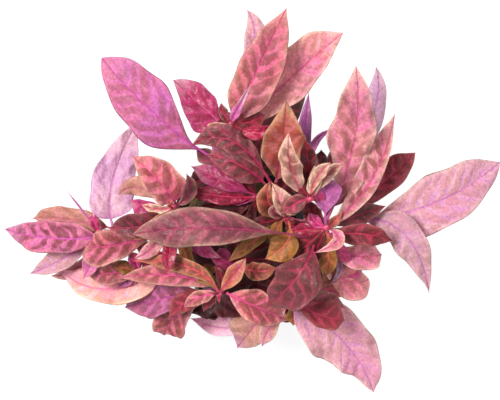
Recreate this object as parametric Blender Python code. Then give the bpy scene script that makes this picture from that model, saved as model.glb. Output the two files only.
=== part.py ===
"""Alternanthera reineckii in a net pot: ten cut stems pushed into a plug of rock wool, with their leaves.

Metres, +Z up. The origin is the centre of the pot's base, on the surface that it stands on. Leaf and shoot
points are given as picture coordinates of a 500 x 400 view from 60 degrees above, with a real height in mm.
"""

import math
from collections import namedtuple

import bmesh
import bpy
from mathutils import Vector

MM = 0.001
GAP = 0.3 * MM

# The pot: a tapered cup with a lip, two rows of slots round it and slots in its base
POT_HEIGHT = 46 * MM
POT_TOP_RADIUS = 23.4 * MM
POT_BASE_RADIUS = 18.5 * MM
POT_WALL = 1.4 * MM
POT_BASE_THICKNESS = 1.8 * MM
POT_LIP_RADIUS = 25 * MM
POT_LIP_THICKNESS = 1.6 * MM
POT_SIDES = 24
SLOTS_ROUND = 12
SLOT_WIDTH = 4.2 * MM
SLOT_ROWS = ((7 * MM, 21 * MM), (24 * MM, 38 * MM))
BASE_SLOTS = 6
BASE_SLOT_WIDTH = 3.2 * MM
BASE_SLOT_FROM = 8 * MM
BASE_SLOT_TO = 15 * MM
SLOT_CUT_DEPTH = 6 * MM

# The wool plug fills the pot, and each stem stands in a hole in it
WOOL_TOP = 43 * MM
WOOL_SIDES = 24
WOOL_HOLE_DEPTH = 17 * MM
WOOL_HOLE_SIDES = 6

# Stems
STEM_RADIUS = 1.25 * MM
STEM_TIP_RADIUS = 0.85 * MM
STEM_SIDES = 6
STEM_RINGS = 7
STEM_DEPTH = 16 * MM
STEM_EASE = 1 / 3
STEM_HOLE_CLEARANCE = 0.35 * MM
BUD_RADIUS = 1.5 * MM

# Leaves
LEAF_THICKNESS = 0.6 * MM
PETIOLE_HALF_WIDTH = 0.75 * MM
TIP_HALF_WIDTH = 0.25 * MM
BLADE_FULLNESS = 0.75
BLADE_STATIONS = (0.12, 0.34, 0.58, 0.82, 1.0)
YOUNG_STATIONS = (0.14, 0.42, 0.76, 1.0)

# Stems and leaves stay smooth up to this angle between faces
SOFT_ANGLE = 60

# The view that the leaf points are given in
VIEW_ELEVATION = math.radians(60)
VIEW_DISTANCE = 0.53
VIEW_TARGET = Vector((0.0046, 0.0098, 0.045))
VIEW_CENTRE = (250, 200)
SLOPE_PER_PIXEL = 0.36 / 500
VIEW_FORWARD = Vector((0, math.cos(VIEW_ELEVATION), -math.sin(VIEW_ELEVATION)))
VIEW_UP = Vector((0, math.sin(VIEW_ELEVATION), math.cos(VIEW_ELEVATION)))
VIEW_RIGHT = Vector((1, 0, 0))
VIEW_POINT = VIEW_TARGET - VIEW_FORWARD * VIEW_DISTANCE

# A stem: where it leaves the wool (x, y in mm), then (u, v, height in mm) of its middle and of its tip
STEMS = {
    "far_left": ((-15, -3), (150, 232, 58), (104, 232, 61)),
    "left": ((-9, -5), (196, 220, 62), (176, 208, 78)),
    "centre": ((1, 2), (262, 200, 64), (276, 187, 81)),
    "back": ((-6, 7), (224, 166, 70), (230, 127, 93)),
    "middle": ((9, 1), (285, 214, 70), (308, 200, 93)),
    "right": ((13, -5), (300, 243, 64), (324, 230, 82)),
    "outer_right": ((17, 3), (322, 224, 62), (364, 215, 68)),
    "low_right": ((9, -13), (272, 284, 56), (288, 300, 57)),
    "front": ((-1, -14), (230, 276, 57), (221, 291, 65)),
    "low_left": ((-10, -12), (182, 264, 56), (142, 272, 55)),
}

# A leaf: how far along its stem it grows, (u, v, height) of its middle and of its tip, the widths of its
# left and right halves in mm as seen from its stem, where along the blade it is widest, the angle that each
# half is folded up by and the angle that the blade is rolled by, in degrees, the share of its length that is
# petiole, and its colour.
Leaf = namedtuple("Leaf", "along middle tip left right widest fold roll petiole colour")

LEAVES = {
    "far_left": (
        Leaf(0.985, (50, 238, 58), (2, 228, 47), 6.8, 5.8, 0.46, 8, 0, 0.08, "mottled"),
        Leaf(0.82, (64, 219, 53), (31, 219, 49), 4.6, 5.4, 0.42, 10, 8, 0.10, "brown"),
        Leaf(0.90, (113, 180, 66), (139, 119, 71), 7.4, 7.6, 0.50, 6, -10, 0.10, "lilac"),
    ),
    "left": (
        Leaf(0.96, (158, 180, 87), (130, 154, 90), 6.0, 5.6, 0.45, 10, 0, 0.06, "salmon"),
        Leaf(0.84, (143, 188, 76), (117, 196, 70), 4.2, 4.4, 0.50, 6, 0, 0.10, "brown"),
        Leaf(0.66, (142, 226, 73), (108, 228, 71), 3.6, 3.8, 0.50, 14, 10, 0.10, "dark"),
        Leaf(0.45, (116, 245, 67), (86, 243, 66), 5.8, 6.0, 0.60, 8, 0, 0.20, "brown"),
    ),
    "centre": (
        Leaf(0.96, (232, 141, 92), (190, 147, 88), 3.8, 4.4, 0.50, 8, 0, 0.10, "dark"),
        Leaf(0.84, (240, 165, 84), (205, 155, 82), 5.8, 5.6, 0.45, 8, 0, 0.10, "dark"),
        Leaf(1.00, (283, 145, 97), (286, 102, 112), 7.4, 8.0, 0.48, 12, 0, 0.04, "salmon"),
        Leaf(0.66, (284, 186, 74), (302, 168, 76), 4.6, 4.6, 0.55, 10, 0, 0.10, "dark"),
    ),
    "back": (
        Leaf(0.98, (257, 71, 103), (287, 7, 112), 7.6, 9.4, 0.44, 8, 0, 0.05, "salmon"),
        Leaf(0.90, (296, 73, 94), (343, 33, 102), 8.2, 6.8, 0.46, 8, 0, 0.08, "pink"),
        Leaf(0.80, (254, 55, 88), (247, 10, 95), 4.2, 4.4, 0.55, 8, 0, 0.08, "pink"),
        Leaf(0.94, (203, 107, 93), (172, 79, 95), 5.8, 5.8, 0.45, 12, 0, 0.06, "magenta"),
        Leaf(0.52, (157, 116, 82), (101, 57, 92), 9.8, 10.4, 0.52, 6, 0, 0.25, "pink"),
    ),
    "middle": (
        Leaf(1.00, (291, 166, 106), (289, 132, 115), 4.2, 3.8, 0.45, 14, 0, 0.06, "pale"),
    ),
    "right": (
        Leaf(0.80, (212, 228, 92), (129, 235, 80), 6.8, 7.0, 0.50, 6, 0, 0.24, "mauve"),
        Leaf(0.97, (371, 181, 90), (395, 113, 97), 3.8, 4.8, 0.44, 16, 0, 0.04, "salmon"),
        Leaf(0.94, (353, 148, 96), (356, 66, 112), 7.0, 6.8, 0.48, 10, 0, 0.16, "salmon"),
        Leaf(0.76, (369, 129, 82), (376, 67, 94), 3.6, 3.2, 0.55, 6, 0, 0.15, "lilac"),
        Leaf(0.70, (381, 184, 76), (415, 153, 82), 5.0, 4.0, 0.55, 8, 0, 0.12, "dark"),
        Leaf(0.92, (362, 234, 82), (394, 241, 76), 3.8, 4.4, 0.50, 12, 0, 0.04, "brown"),
        Leaf(0.86, (297, 277, 77), (264, 307, 60), 8.6, 6.4, 0.52, 6, 0, 0.12, "mauve"),
    ),
    "outer_right": (
        Leaf(0.79, (432, 204, 73), (499, 163, 72), 9.4, 10.4, 0.52, 6, 0, 0.15, "pale"),
        Leaf(0.99, (408, 238, 72), (429, 293, 55), 6.8, 5.6, 0.45, 8, 0, 0.04, "pink"),
    ),
    "low_right": (
        Leaf(0.86, (345, 343, 36), (374, 394, 17), 10.0, 7.0, 0.44, 6, 0, 0.08, "pink"),
        Leaf(0.96, (320, 315, 57), (346, 320, 54), 4.6, 4.2, 0.66, 8, 0, 0.06, "brown"),
        Leaf(0.58, (240, 326, 32), (190, 318, 23), 3.2, 2.8, 0.55, 8, 0, 0.10, "lilac"),
        Leaf(0.80, (257, 323, 42), (236, 350, 25), 6.0, 7.2, 0.60, 8, 0, 0.10, "pale"),
    ),
    "front": (
        Leaf(0.95, (168, 275, 67), (116, 279, 56), 4.0, 4.2, 0.45, 10, 0, 0.05, "salmon"),
        Leaf(0.94, (256, 307, 58), (291, 321, 47), 5.4, 4.8, 0.50, 8, 0, 0.05, "mauve"),
        Leaf(0.84, (166, 298, 49), (123, 308, 37), 5.6, 6.4, 0.55, 8, 0, 0.16, "magenta"),
        Leaf(0.60, (179, 313, 42), (164, 338, 28), 6.0, 6.4, 0.64, 8, 0, 0.14, "salmon"),
    ),
    "low_left": (
        Leaf(0.74, (104, 289, 44), (57, 267, 38), 5.6, 8.0, 0.44, 8, 0, 0.16, "pale"),
    ),
}

# Young leaves joined at one bud, as one piece: how far along its stem the bud sits, and its leaves. At 1 it
# is the stem's growing tip, and lower down it is a side shoot.
SHOOTS = {
    "far_left": (1.0, (
        Leaf(0, (82, 210, 66), (67, 191, 70), 0.8, 0.8, 0.50, 0, 0, 0.05, "magenta"),
        Leaf(0, (94, 222, 64), (92, 212, 66), 1.8, 1.8, 0.50, 10, 0, 0.05, "magenta"),
        Leaf(0, (94, 256, 58), (83, 279, 54), 3.0, 3.2, 0.60, 10, 0, 0.05, "pink"),
        Leaf(0, (66, 257, 50), (29, 274, 41), 2.8, 3.4, 0.55, 10, 0, 0.05, "lilac"),
        Leaf(0, (84, 265, 42), (50, 276, 31), 3.2, 3.0, 0.60, 10, 0, 0.05, "salmon"),
    )),
    "left": (1.0, (
        Leaf(0, (156, 209, 76), (141, 204, 75), 1.6, 1.9, 0.50, 16, 0, 0.05, "pale"),
        Leaf(0, (189, 193, 75), (186, 173, 74), 2.4, 2.8, 0.50, 10, 0, 0.05, "magenta"),
        Leaf(0, (170, 246, 80), (167, 273, 77), 2.8, 2.8, 0.55, 12, 0, 0.05, "magenta"),
        Leaf(0, (150, 206, 71), (129, 199, 68), 4.6, 1.8, 0.60, 10, 0, 0.05, "magenta"),
        Leaf(0, (157, 243, 75), (134, 258, 71), 2.8, 3.0, 0.55, 10, 0, 0.05, "pale"),
        Leaf(0, (192, 240, 70), (222, 258, 66), 2.8, 2.6, 0.60, 10, 0, 0.05, "magenta"),
    )),
    "back": (1.0, (
        Leaf(0, (240, 105, 101), (251, 84, 108), 1.4, 1.4, 0.50, 40, 0, 0.05, "lilac"),
        Leaf(0, (224, 114, 98), (221, 103, 101), 2.0, 2.0, 0.50, 16, 0, 0.05, "dark"),
        Leaf(0, (255, 133, 97), (272, 124, 98), 2.6, 2.6, 0.55, 12, 0, 0.05, "magenta"),
    )),
    "middle": (1.0, (
        Leaf(0, (318, 176, 102), (331, 163, 106), 2.6, 3.0, 0.55, 16, 0, 0.05, "pale"),
        Leaf(0, (296, 203, 92), (282, 214, 88), 2.2, 2.2, 0.50, 14, 0, 0.05, "dark"),
        Leaf(0, (311, 150, 94), (338, 128, 94), 1.6, 1.6, 0.45, 14, 0, 0.05, "lilac"),
        Leaf(0, (309, 167, 100), (304, 139, 107), 3.2, 3.6, 0.50, 14, 0, 0.08, "dark"),
        Leaf(0, (306, 146, 90), (309, 93, 98), 3.0, 2.0, 0.60, 10, 0, 0.08, "magenta"),
        Leaf(0, (330, 162, 84), (340, 134, 86), 3.0, 3.2, 0.55, 12, 0, 0.05, "dark"),
    )),
    "right": (1.0, (
        Leaf(0, (338, 240, 87), (314, 253, 82), 2.0, 2.0, 0.50, 20, 0, 0.05, "pale"),
        Leaf(0, (328, 255, 74), (326, 277, 66), 3.5, 3.5, 0.55, 12, 0, 0.05, "brown"),
        Leaf(0, (325, 199, 92), (327, 174, 93), 3.8, 4.4, 0.60, 8, 0, 0.20, "lilac"),
    )),
    "front": (1.0, (
        Leaf(0, (200, 297, 66), (183, 308, 59), 2.8, 2.6, 0.50, 12, 0, 0.05, "salmon"),
        Leaf(0, (234, 275, 72), (246, 258, 76), 3.2, 3.0, 0.50, 14, 0, 0.05, "salmon"),
        Leaf(0, (188, 267, 74), (132, 261, 64), 3.0, 3.0, 0.55, 10, 0, 0.05, "brown"),
        Leaf(0, (190, 300, 56), (168, 318, 47), 3.4, 4.0, 0.55, 10, 0, 0.05, "brown"),
    )),
    "low_right": (1.0, (
        Leaf(0, (310, 298, 55), (329, 291, 55), 2.4, 2.4, 0.55, 10, 0, 0.05, "brown"),
        Leaf(0, (320, 302, 54), (346, 308, 50), 3.4, 2.6, 0.60, 10, 0, 0.05, "salmon"),
    )),
    "low_left": (1.0, (
        Leaf(0, (112, 273, 55), (88, 277, 49), 4.8, 4.4, 0.50, 10, 0, 0.05, "salmon"),
        Leaf(0, (136, 262, 60), (128, 252, 62), 2.6, 2.6, 0.55, 10, 0, 0.05, "magenta"),
    )),
    "middle_side": (0.62, (
        Leaf(0, (269, 203, 84), (270, 181, 90), 4.8, 3.4, 0.50, 24, 0, 0.05, "brown"),
        Leaf(0, (288, 240, 76), (265, 259, 72), 3.6, 3.6, 0.60, 10, 0, 0.20, "brown"),
        Leaf(0, (299, 238, 73), (293, 251, 70), 2.4, 2.4, 0.50, 10, 0, 0.10, "brown"),
        Leaf(0, (258, 238, 75), (228, 262, 72), 2.6, 2.6, 0.60, 10, 0, 0.10, "brown"),
    )),
    "centre_side": (0.60, (
        Leaf(0, (226, 182, 75), (190, 166, 74), 3.8, 3.6, 0.60, 6, 0, 0.08, "magenta"),
        Leaf(0, (222, 196, 70), (185, 190, 70), 3.6, 3.4, 0.50, 12, 0, 0.08, "magenta"),
        Leaf(0, (232, 204, 62), (196, 207, 57), 5.2, 5.2, 0.50, 8, 0, 0.08, "dark"),
        Leaf(0, (244, 222, 58), (224, 244, 52), 5.0, 5.0, 0.55, 8, 0, 0.08, "dark"),
    )),
    "back_side": (0.35, (
        Leaf(0, (221, 152, 68), (214, 128, 71), 3.2, 3.2, 0.55, 8, 0, 0.08, "pink"),
        Leaf(0, (250, 102, 62), (264, 58, 50), 6.4, 6.4, 0.50, 8, 0, 0.08, "mauve"),
        Leaf(0, (280, 118, 62), (304, 74, 52), 5.6, 5.6, 0.50, 8, 0, 0.08, "dark"),
        Leaf(0, (208, 178, 58), (186, 184, 53), 4.8, 4.8, 0.55, 8, 0, 0.08, "dark"),
    )),
    "right_side": (0.50, (
        Leaf(0, (354, 256, 68), (383, 254, 65), 4.0, 5.4, 0.64, 8, 0, 0.10, "salmon"),
        Leaf(0, (343, 279, 60), (370, 278, 53), 7.0, 6.4, 0.58, 8, 0, 0.10, "pink"),
        Leaf(0, (338, 262, 64), (329, 285, 60), 1.5, 1.5, 0.50, 10, 0, 0.05, "lilac"),
    )),
    "front_side": (0.30, (
        Leaf(0, (255, 271, 65), (277, 267, 67), 3.4, 3.4, 0.55, 8, 0, 0.10, "brown"),
        Leaf(0, (212, 254, 60), (184, 252, 58), 4.4, 4.4, 0.50, 8, 0, 0.10, "dark"),
        Leaf(0, (268, 260, 60), (296, 270, 58), 4.8, 4.8, 0.50, 8, 0, 0.10, "dark"),
        Leaf(0, (208, 270, 54), (182, 279, 49), 4.4, 4.4, 0.50, 8, 0, 0.10, "dark"),
    )),
}

COLOURS = {
    "pot": ((0.012, 0.012, 0.013), 0.45),
    "wool": ((0.16, 0.11, 0.06), 0.95),
    "stem": ((0.36, 0.03, 0.07), 0.4),
    "pink": ((0.72, 0.22, 0.38), 0.5),
    "lilac": ((0.66, 0.30, 0.55), 0.5),
    "salmon": ((0.68, 0.16, 0.17), 0.45),
    "mottled": ((0.62, 0.14, 0.27), 0.5),
    "mauve": ((0.48, 0.18, 0.24), 0.5),
    "magenta": ((0.48, 0.03, 0.16), 0.3),
    "brown": ((0.34, 0.10, 0.07), 0.5),
    "dark": ((0.20, 0.05, 0.08), 0.45),
    "pale": ((0.82, 0.48, 0.46), 0.5),
}


def at(u, v, height):
    """The point at this height in millimetres that shows at (u, v) in the view."""
    across = (u - VIEW_CENTRE[0]) * SLOPE_PER_PIXEL
    up = (VIEW_CENTRE[1] - v) * SLOPE_PER_PIXEL
    ray = VIEW_FORWARD + VIEW_RIGHT * across + VIEW_UP * up
    return VIEW_POINT + ray * ((height * MM - VIEW_POINT.z) / ray.z)


def through(first, middle, last):
    """A curve and its slope, as functions of 0 to 1, that passes through three points."""
    handle = middle * 2 - (first + last) / 2

    def point(t):
        return first * (1 - t) ** 2 + handle * (2 * t * (1 - t)) + last * t ** 2

    def slope(t):
        return ((handle - first) * (1 - t) + (last - handle) * t).normalized()

    return point, slope


def clear_scene():
    for old in list(bpy.data.objects):
        bpy.data.objects.remove(old)


def material(kind):
    found = bpy.data.materials.get(kind)
    if found:
        return found
    colour, roughness = COLOURS[kind]
    made = bpy.data.materials.new(kind)
    made.use_nodes = True
    shader = made.node_tree.nodes["Principled BSDF"]
    shader.inputs["Base Color"].default_value = (*colour, 1)
    shader.inputs["Roughness"].default_value = roughness
    shader.inputs["Metallic"].default_value = 0
    made.diffuse_color = (*colour, 1)
    return made


def add_object(name, shape, kind, smooth_angle=40):
    """An object from a bmesh, facing outwards, smooth but for edges sharper than an angle in degrees."""
    bmesh.ops.recalc_face_normals(shape, faces=shape.faces)
    mesh = bpy.data.meshes.new(name)
    shape.to_mesh(mesh)
    shape.free()
    mesh.shade_smooth()
    mesh.set_sharp_from_angle(angle=math.radians(smooth_angle))
    mesh.materials.append(material(kind))
    made = bpy.data.objects.new(name, mesh)
    bpy.context.scene.collection.objects.link(made)
    return made


def as_helper(made):
    made.hide_render = True
    made.display_type = "WIRE"
    return made


def add_boolean(target, other, operation):
    change = target.modifiers.new(f"{operation.lower()} {other.name}", "BOOLEAN")
    change.operation = operation
    change.object = other
    change.solver = "EXACT"


def loft(shape, rings):
    """Closed skin over rings of the same number of points, with a flat face at each end."""
    rows = [[shape.verts.new(point) for point in ring] for ring in rings]
    count = len(rows[0])
    for low, high in zip(rows, rows[1:]):
        for i in range(count):
            shape.faces.new((low[i], low[(i + 1) % count], high[(i + 1) % count], high[i]))
    shape.faces.new(rows[0][::-1])
    shape.faces.new(rows[-1])


def circle(centre, radius, sides, first=Vector((1, 0, 0)), second=Vector((0, 1, 0))):
    turns = (2 * math.pi * i / sides for i in range(sides))
    return [centre + (first * math.cos(a) + second * math.sin(a)) * radius for a in turns]


def pot_radius(height):
    """The outer radius of the pot's wall at a height."""
    return POT_BASE_RADIUS + (POT_TOP_RADIUS - POT_BASE_RADIUS) * height / POT_HEIGHT


def add_box(shape, centre, along, across, size):
    """A box with its length along one level direction; size is length, width and height."""
    corners = []
    for k in (-0.5, 0.5):
        for i, j in ((-0.5, -0.5), (0.5, -0.5), (0.5, 0.5), (-0.5, 0.5)):
            level = along * (i * size[0]) + across * (j * size[1])
            corners.append(centre + level + Vector((0, 0, k * size[2])))
    loft(shape, (corners[:4], corners[4:]))


def add_pot():
    """The cup is turned as one ring of faces after another, then its slots are cut."""
    lip_base = POT_HEIGHT - POT_LIP_THICKNESS
    profile = (
        (POT_BASE_RADIUS, 0),
        (pot_radius(lip_base), lip_base),
        (POT_LIP_RADIUS, lip_base),
        (POT_LIP_RADIUS, POT_HEIGHT),
        (POT_TOP_RADIUS - POT_WALL, POT_HEIGHT),
        (pot_radius(POT_BASE_THICKNESS) - POT_WALL, POT_BASE_THICKNESS),
    )
    shape = bmesh.new()
    loft(shape, [circle(Vector((0, 0, z)), radius, POT_SIDES) for radius, z in profile])
    pot = add_object("net_pot", shape, "pot")

    cutter = bmesh.new()
    for i in range(SLOTS_ROUND):
        turn = 2 * math.pi * (i + 0.5) / SLOTS_ROUND
        outward = Vector((math.cos(turn), math.sin(turn), 0))
        sideways = Vector((-math.sin(turn), math.cos(turn), 0))
        for low, high in SLOT_ROWS:
            middle = (low + high) / 2
            centre = outward * (pot_radius(middle) - POT_WALL / 2) + Vector((0, 0, middle))
            add_box(cutter, centre, outward, sideways, (SLOT_CUT_DEPTH, SLOT_WIDTH, high - low))
    for i in range(BASE_SLOTS):
        turn = 2 * math.pi * i / BASE_SLOTS
        outward = Vector((math.cos(turn), math.sin(turn), 0))
        sideways = Vector((-math.sin(turn), math.cos(turn), 0))
        centre = outward * ((BASE_SLOT_FROM + BASE_SLOT_TO) / 2)
        length = BASE_SLOT_TO - BASE_SLOT_FROM
        add_box(cutter, centre, outward, sideways, (length, BASE_SLOT_WIDTH, SLOT_CUT_DEPTH))
    slots = as_helper(add_object("pot_slots", cutter, "pot"))
    add_boolean(pot, slots, "DIFFERENCE")


def add_wool():
    """A tapered plug with a blind hole for each stem."""
    low = POT_BASE_THICKNESS + GAP
    inside = POT_WALL + GAP
    shape = bmesh.new()
    loft(shape, (
        circle(Vector((0, 0, low)), pot_radius(low) - inside, WOOL_SIDES),
        circle(Vector((0, 0, WOOL_TOP)), pot_radius(WOOL_TOP) - inside, WOOL_SIDES),
    ))
    wool = add_object("rock_wool", shape, "wool")

    holes = bmesh.new()
    radius = STEM_RADIUS + STEM_HOLE_CLEARANCE
    for (x, y), _, _ in STEMS.values():
        top = Vector((x * MM, y * MM, WOOL_TOP + radius))
        bottom = Vector((x * MM, y * MM, WOOL_TOP - WOOL_HOLE_DEPTH))
        loft(holes, (circle(bottom, radius, WOOL_HOLE_SIDES), circle(top, radius, WOOL_HOLE_SIDES)))
    add_boolean(wool, as_helper(add_object("wool_holes", holes, "wool")), "DIFFERENCE")


def stem_curve(name):
    """The part of a stem above the wool, as its point and its slope at 0 to 1."""
    (x, y), middle, tip = STEMS[name]
    return through(Vector((x * MM, y * MM, WOOL_TOP)), at(*middle), at(*tip))


def stem_radius(along):
    return STEM_RADIUS + (STEM_TIP_RADIUS - STEM_RADIUS) * along


def add_stem(name):
    """Straight down into the wool, and along its curve above it."""
    point, slope = stem_curve(name)
    root = point(0)
    centres = [root - Vector((0, 0, STEM_DEPTH)), root + Vector((0, 0, GAP))]
    slopes = [Vector((0, 0, 1)), Vector((0, 0, 1))]
    radii = [STEM_RADIUS, STEM_RADIUS]
    for i in range(1, STEM_RINGS):
        along = i / (STEM_RINGS - 1)
        # The first stretch eases from upright into the curve
        rise = min(1, along / STEM_EASE)
        centres.append(point(along) + Vector((0, 0, GAP * (1 - rise))))
        slopes.append((slope(along) * rise + Vector((0, 0, 1)) * (1 - rise)).normalized())
        radii.append(stem_radius(along))
    first = Vector((1, 0, 0))
    rings = []
    for centre, up, radius in zip(centres, slopes, radii):
        first = (first - up * first.dot(up)).normalized()
        rings.append(circle(centre, radius, STEM_SIDES, first, up.cross(first)))
    shape = bmesh.new()
    loft(shape, rings)
    add_object(f"{name}_stem", shape, "stem", SOFT_ANGLE)


def half_width(share, widest, width):
    """Half a blade's width at a share of its length: narrow at both ends, full where it is widest."""
    bend = math.log(0.5) / math.log(widest)
    return max(TIP_HALF_WIDTH, width * math.sin(math.pi * share ** bend) ** BLADE_FULLNESS)


def leaf_shape(leaf, base, shares):
    """A thin closed blade on its petiole. Its upper side looks towards the view, before its roll and fold."""
    point, slope = through(base, at(*leaf.middle), at(*leaf.tip))
    stations = [(along, PETIOLE_HALF_WIDTH, PETIOLE_HALF_WIDTH) for along in (0, leaf.petiole)]
    for share in shares:
        along = leaf.petiole + (1 - leaf.petiole) * share
        left = half_width(share, leaf.widest, leaf.left * MM)
        right = half_width(share, leaf.widest, leaf.right * MM)
        stations.append((along, left, right))
    rings = []
    for along, left, right in stations:
        centre = point(along)
        forward = slope(along)
        side = forward.cross(VIEW_POINT - centre).normalized()
        upper = side.cross(forward).normalized()
        blend = min(1, along / leaf.petiole)
        right_angle = math.radians(leaf.fold + leaf.roll) * blend
        left_angle = math.radians(leaf.fold - leaf.roll) * blend
        right_edge = centre + (side * math.cos(right_angle) + upper * math.sin(right_angle)) * right
        left_edge = centre + (upper * math.sin(left_angle) - side * math.cos(left_angle)) * left
        lift = upper * (LEAF_THICKNESS / 2)
        rings.append([
            left_edge + lift, centre + lift, right_edge + lift,
            right_edge - lift, centre - lift, left_edge - lift,
        ])
    shape = bmesh.new()
    loft(shape, rings)
    return shape


def beside_stem(name, along, towards, reach):
    """The point this far from a stem's middle line, on the side that faces another point."""
    point, slope = stem_curve(name)
    centre, up = point(along), slope(along)
    outward = towards - centre
    outward = (outward - up * outward.dot(up)).normalized()
    return centre + outward * reach


def add_leaf(name, stem, leaf):
    reach = stem_radius(leaf.along) + GAP + PETIOLE_HALF_WIDTH
    base = beside_stem(stem, leaf.along, at(*leaf.middle), reach)
    add_object(name, leaf_shape(leaf, base, BLADE_STATIONS), leaf.colour, SOFT_ANGLE)


def add_shoot(name, along, leaves):
    """A bud with its young leaves, joined as one piece."""
    stem = name.removesuffix("_side")
    point, slope = stem_curve(stem)
    if along == 1:
        node = f"{name}_growing_tip"
        centre = point(1) + slope(1) * (GAP + BUD_RADIUS)
    else:
        node = f"{name}_shoot"
        middles = sum((at(*leaf.middle) for leaf in leaves), Vector()) / len(leaves)
        centre = beside_stem(stem, along, middles, stem_radius(along) + GAP + BUD_RADIUS)
    shape = bmesh.new()
    bmesh.ops.create_icosphere(shape, subdivisions=1, radius=BUD_RADIUS)
    bmesh.ops.translate(shape, verts=shape.verts, vec=centre)
    bud = add_object(node, shape, leaves[0].colour, SOFT_ANGLE)
    for i, leaf in enumerate(leaves, 1):
        blade = leaf_shape(leaf, centre, YOUNG_STATIONS)
        add_boolean(bud, as_helper(add_object(f"{name}_young_{i}", blade, leaf.colour, SOFT_ANGLE)), "UNION")


def main():
    clear_scene()
    add_pot()
    add_wool()
    for stem in STEMS:
        add_stem(stem)
        for i, leaf in enumerate(LEAVES[stem], 1):
            add_leaf(f"{stem}_leaf_{i}", stem, leaf)
    for name, (along, leaves) in SHOOTS.items():
        add_shoot(name, along, leaves)


main()
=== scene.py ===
"""The looks of an alternanthera reineckii bunch in its net pot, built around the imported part."""

import math
from collections import namedtuple

import bmesh
import bpy
import numpy as np
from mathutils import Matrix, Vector


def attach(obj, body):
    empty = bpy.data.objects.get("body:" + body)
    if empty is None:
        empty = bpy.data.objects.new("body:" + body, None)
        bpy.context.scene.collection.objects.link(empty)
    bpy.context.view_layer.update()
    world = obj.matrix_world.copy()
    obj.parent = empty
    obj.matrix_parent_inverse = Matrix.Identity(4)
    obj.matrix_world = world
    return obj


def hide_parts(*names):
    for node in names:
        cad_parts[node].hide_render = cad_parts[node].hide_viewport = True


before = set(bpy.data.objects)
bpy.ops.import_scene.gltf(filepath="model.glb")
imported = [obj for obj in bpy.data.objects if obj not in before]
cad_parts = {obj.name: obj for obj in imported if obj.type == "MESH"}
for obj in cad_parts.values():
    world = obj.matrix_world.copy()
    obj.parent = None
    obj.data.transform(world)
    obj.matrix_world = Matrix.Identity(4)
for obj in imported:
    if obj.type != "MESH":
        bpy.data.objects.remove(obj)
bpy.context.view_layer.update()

MM = 0.001
SEED = 11

# The part's driving dimensions
GAP = 0.3 * MM
POT_HEIGHT = 46 * MM
POT_TOP_RADIUS = 23.4 * MM
POT_BASE_RADIUS = 18.5 * MM
POT_WALL = 1.4 * MM
POT_BASE_THICKNESS = 1.8 * MM
POT_LIP_RADIUS = 25 * MM
POT_LIP_THICKNESS = 1.6 * MM
SLOTS_ROUND = 12
SLOT_WIDTH = 4.2 * MM
SLOT_ROWS = ((7 * MM, 21 * MM), (24 * MM, 38 * MM))
BASE_SLOTS = 6
BASE_SLOT_WIDTH = 3.2 * MM
BASE_SLOT_FROM = 8 * MM
BASE_SLOT_TO = 15 * MM
WOOL_TOP = 43 * MM
STEM_RADIUS = 1.25 * MM
STEM_TIP_RADIUS = 0.85 * MM
STEM_DEPTH = 16 * MM
STEM_HOLE_CLEARANCE = 0.35 * MM
BUD_RADIUS = 1.5 * MM

# Finer sizes that only the looks have
POT_ROUNDING = 0.5 * MM
SLOT_CORNER = 1.2 * MM
SLOT_CUT = 3 * MM
SLOT_BEVEL = 0.18 * MM
BLADE_THICKNESS = 0.16 * MM
GROOVE_DEPTH = 0.10 * MM
RIB_DEPTH = 0.42 * MM
PETIOLE_RADIUS = 0.62 * MM
PETIOLE_ROWS = 6
NODE_SWELLING = 0.16 * MM
LOW_NODES = [0.12, 0.30]
BUD_LEAFLETS = 3
LUMPS_ON_TOP = 0.6 * MM
LUMPS_ON_SIDE = 0.55 * MM
WOOL_EDGE_DROP = 0.4 * MM
TOP_FIBRES = 1100
SIDE_FIBRES = 700
FIBRE_MARGIN = 1.2 * MM
FIBRE_MAP = (48, 40)
CELL_MARGIN = 0.03
ROOM = 3.0

# In mm: the half width from which a leaf's surface is as strong as a grown one's, the distance between side
# veins, their slant and bend, and the height of the quilting between them and of the ripples along the margin
GROWN_HALF_WIDTH = 7
VEIN_SPACING = 6.4
VEIN_SLANT = 0.72
VEIN_BEND = 0.045
QUILTING = 0.38
RIPPLE = 0.16

# How much richer and darker than their codes the darkest leaf colours are, and the lowest level they reach
RICHER = 0.28
DARKER = 0.09
DARKEST = 2

# How much further, in degrees, a leaf is folded than its solid, and how unevenly leaves are twisted
MORE_FOLD = 5
TWIST_SPREAD = 5

# The camera: the view that the leaf points are given in
LENS = 100
SENSOR = 36
VIEW_ELEVATION = math.radians(60)
VIEW_DISTANCE = 0.53
VIEW_TARGET = np.array((0.0046, 0.0098, 0.045))
VIEW_CENTRE = (250, 200)
SLOPE_PER_PIXEL = SENSOR / LENS / 500
VIEW_FORWARD = np.array((0, math.cos(VIEW_ELEVATION), -math.sin(VIEW_ELEVATION)))
VIEW_UP = np.array((0, math.sin(VIEW_ELEVATION), math.cos(VIEW_ELEVATION)))
VIEW_RIGHT = np.array((1.0, 0, 0))
VIEW_POINT = VIEW_TARGET - VIEW_FORWARD * VIEW_DISTANCE

# A stem: where it leaves the wool (x, y in mm), then (u, v, height in mm) of its middle and of its tip
STEMS = {
    "far_left": ((-15, -3), (150, 232, 58), (104, 232, 61)),
    "left": ((-9, -5), (196, 220, 62), (176, 208, 78)),
    "centre": ((1, 2), (262, 200, 64), (276, 187, 81)),
    "back": ((-6, 7), (224, 166, 70), (230, 127, 93)),
    "middle": ((9, 1), (285, 214, 70), (308, 200, 93)),
    "right": ((13, -5), (300, 243, 64), (324, 230, 82)),
    "outer_right": ((17, 3), (322, 224, 62), (364, 215, 68)),
    "low_right": ((9, -13), (272, 284, 56), (288, 300, 57)),
    "front": ((-1, -14), (230, 276, 57), (221, 291, 65)),
    "low_left": ((-10, -12), (182, 264, 56), (142, 272, 55)),
}

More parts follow.
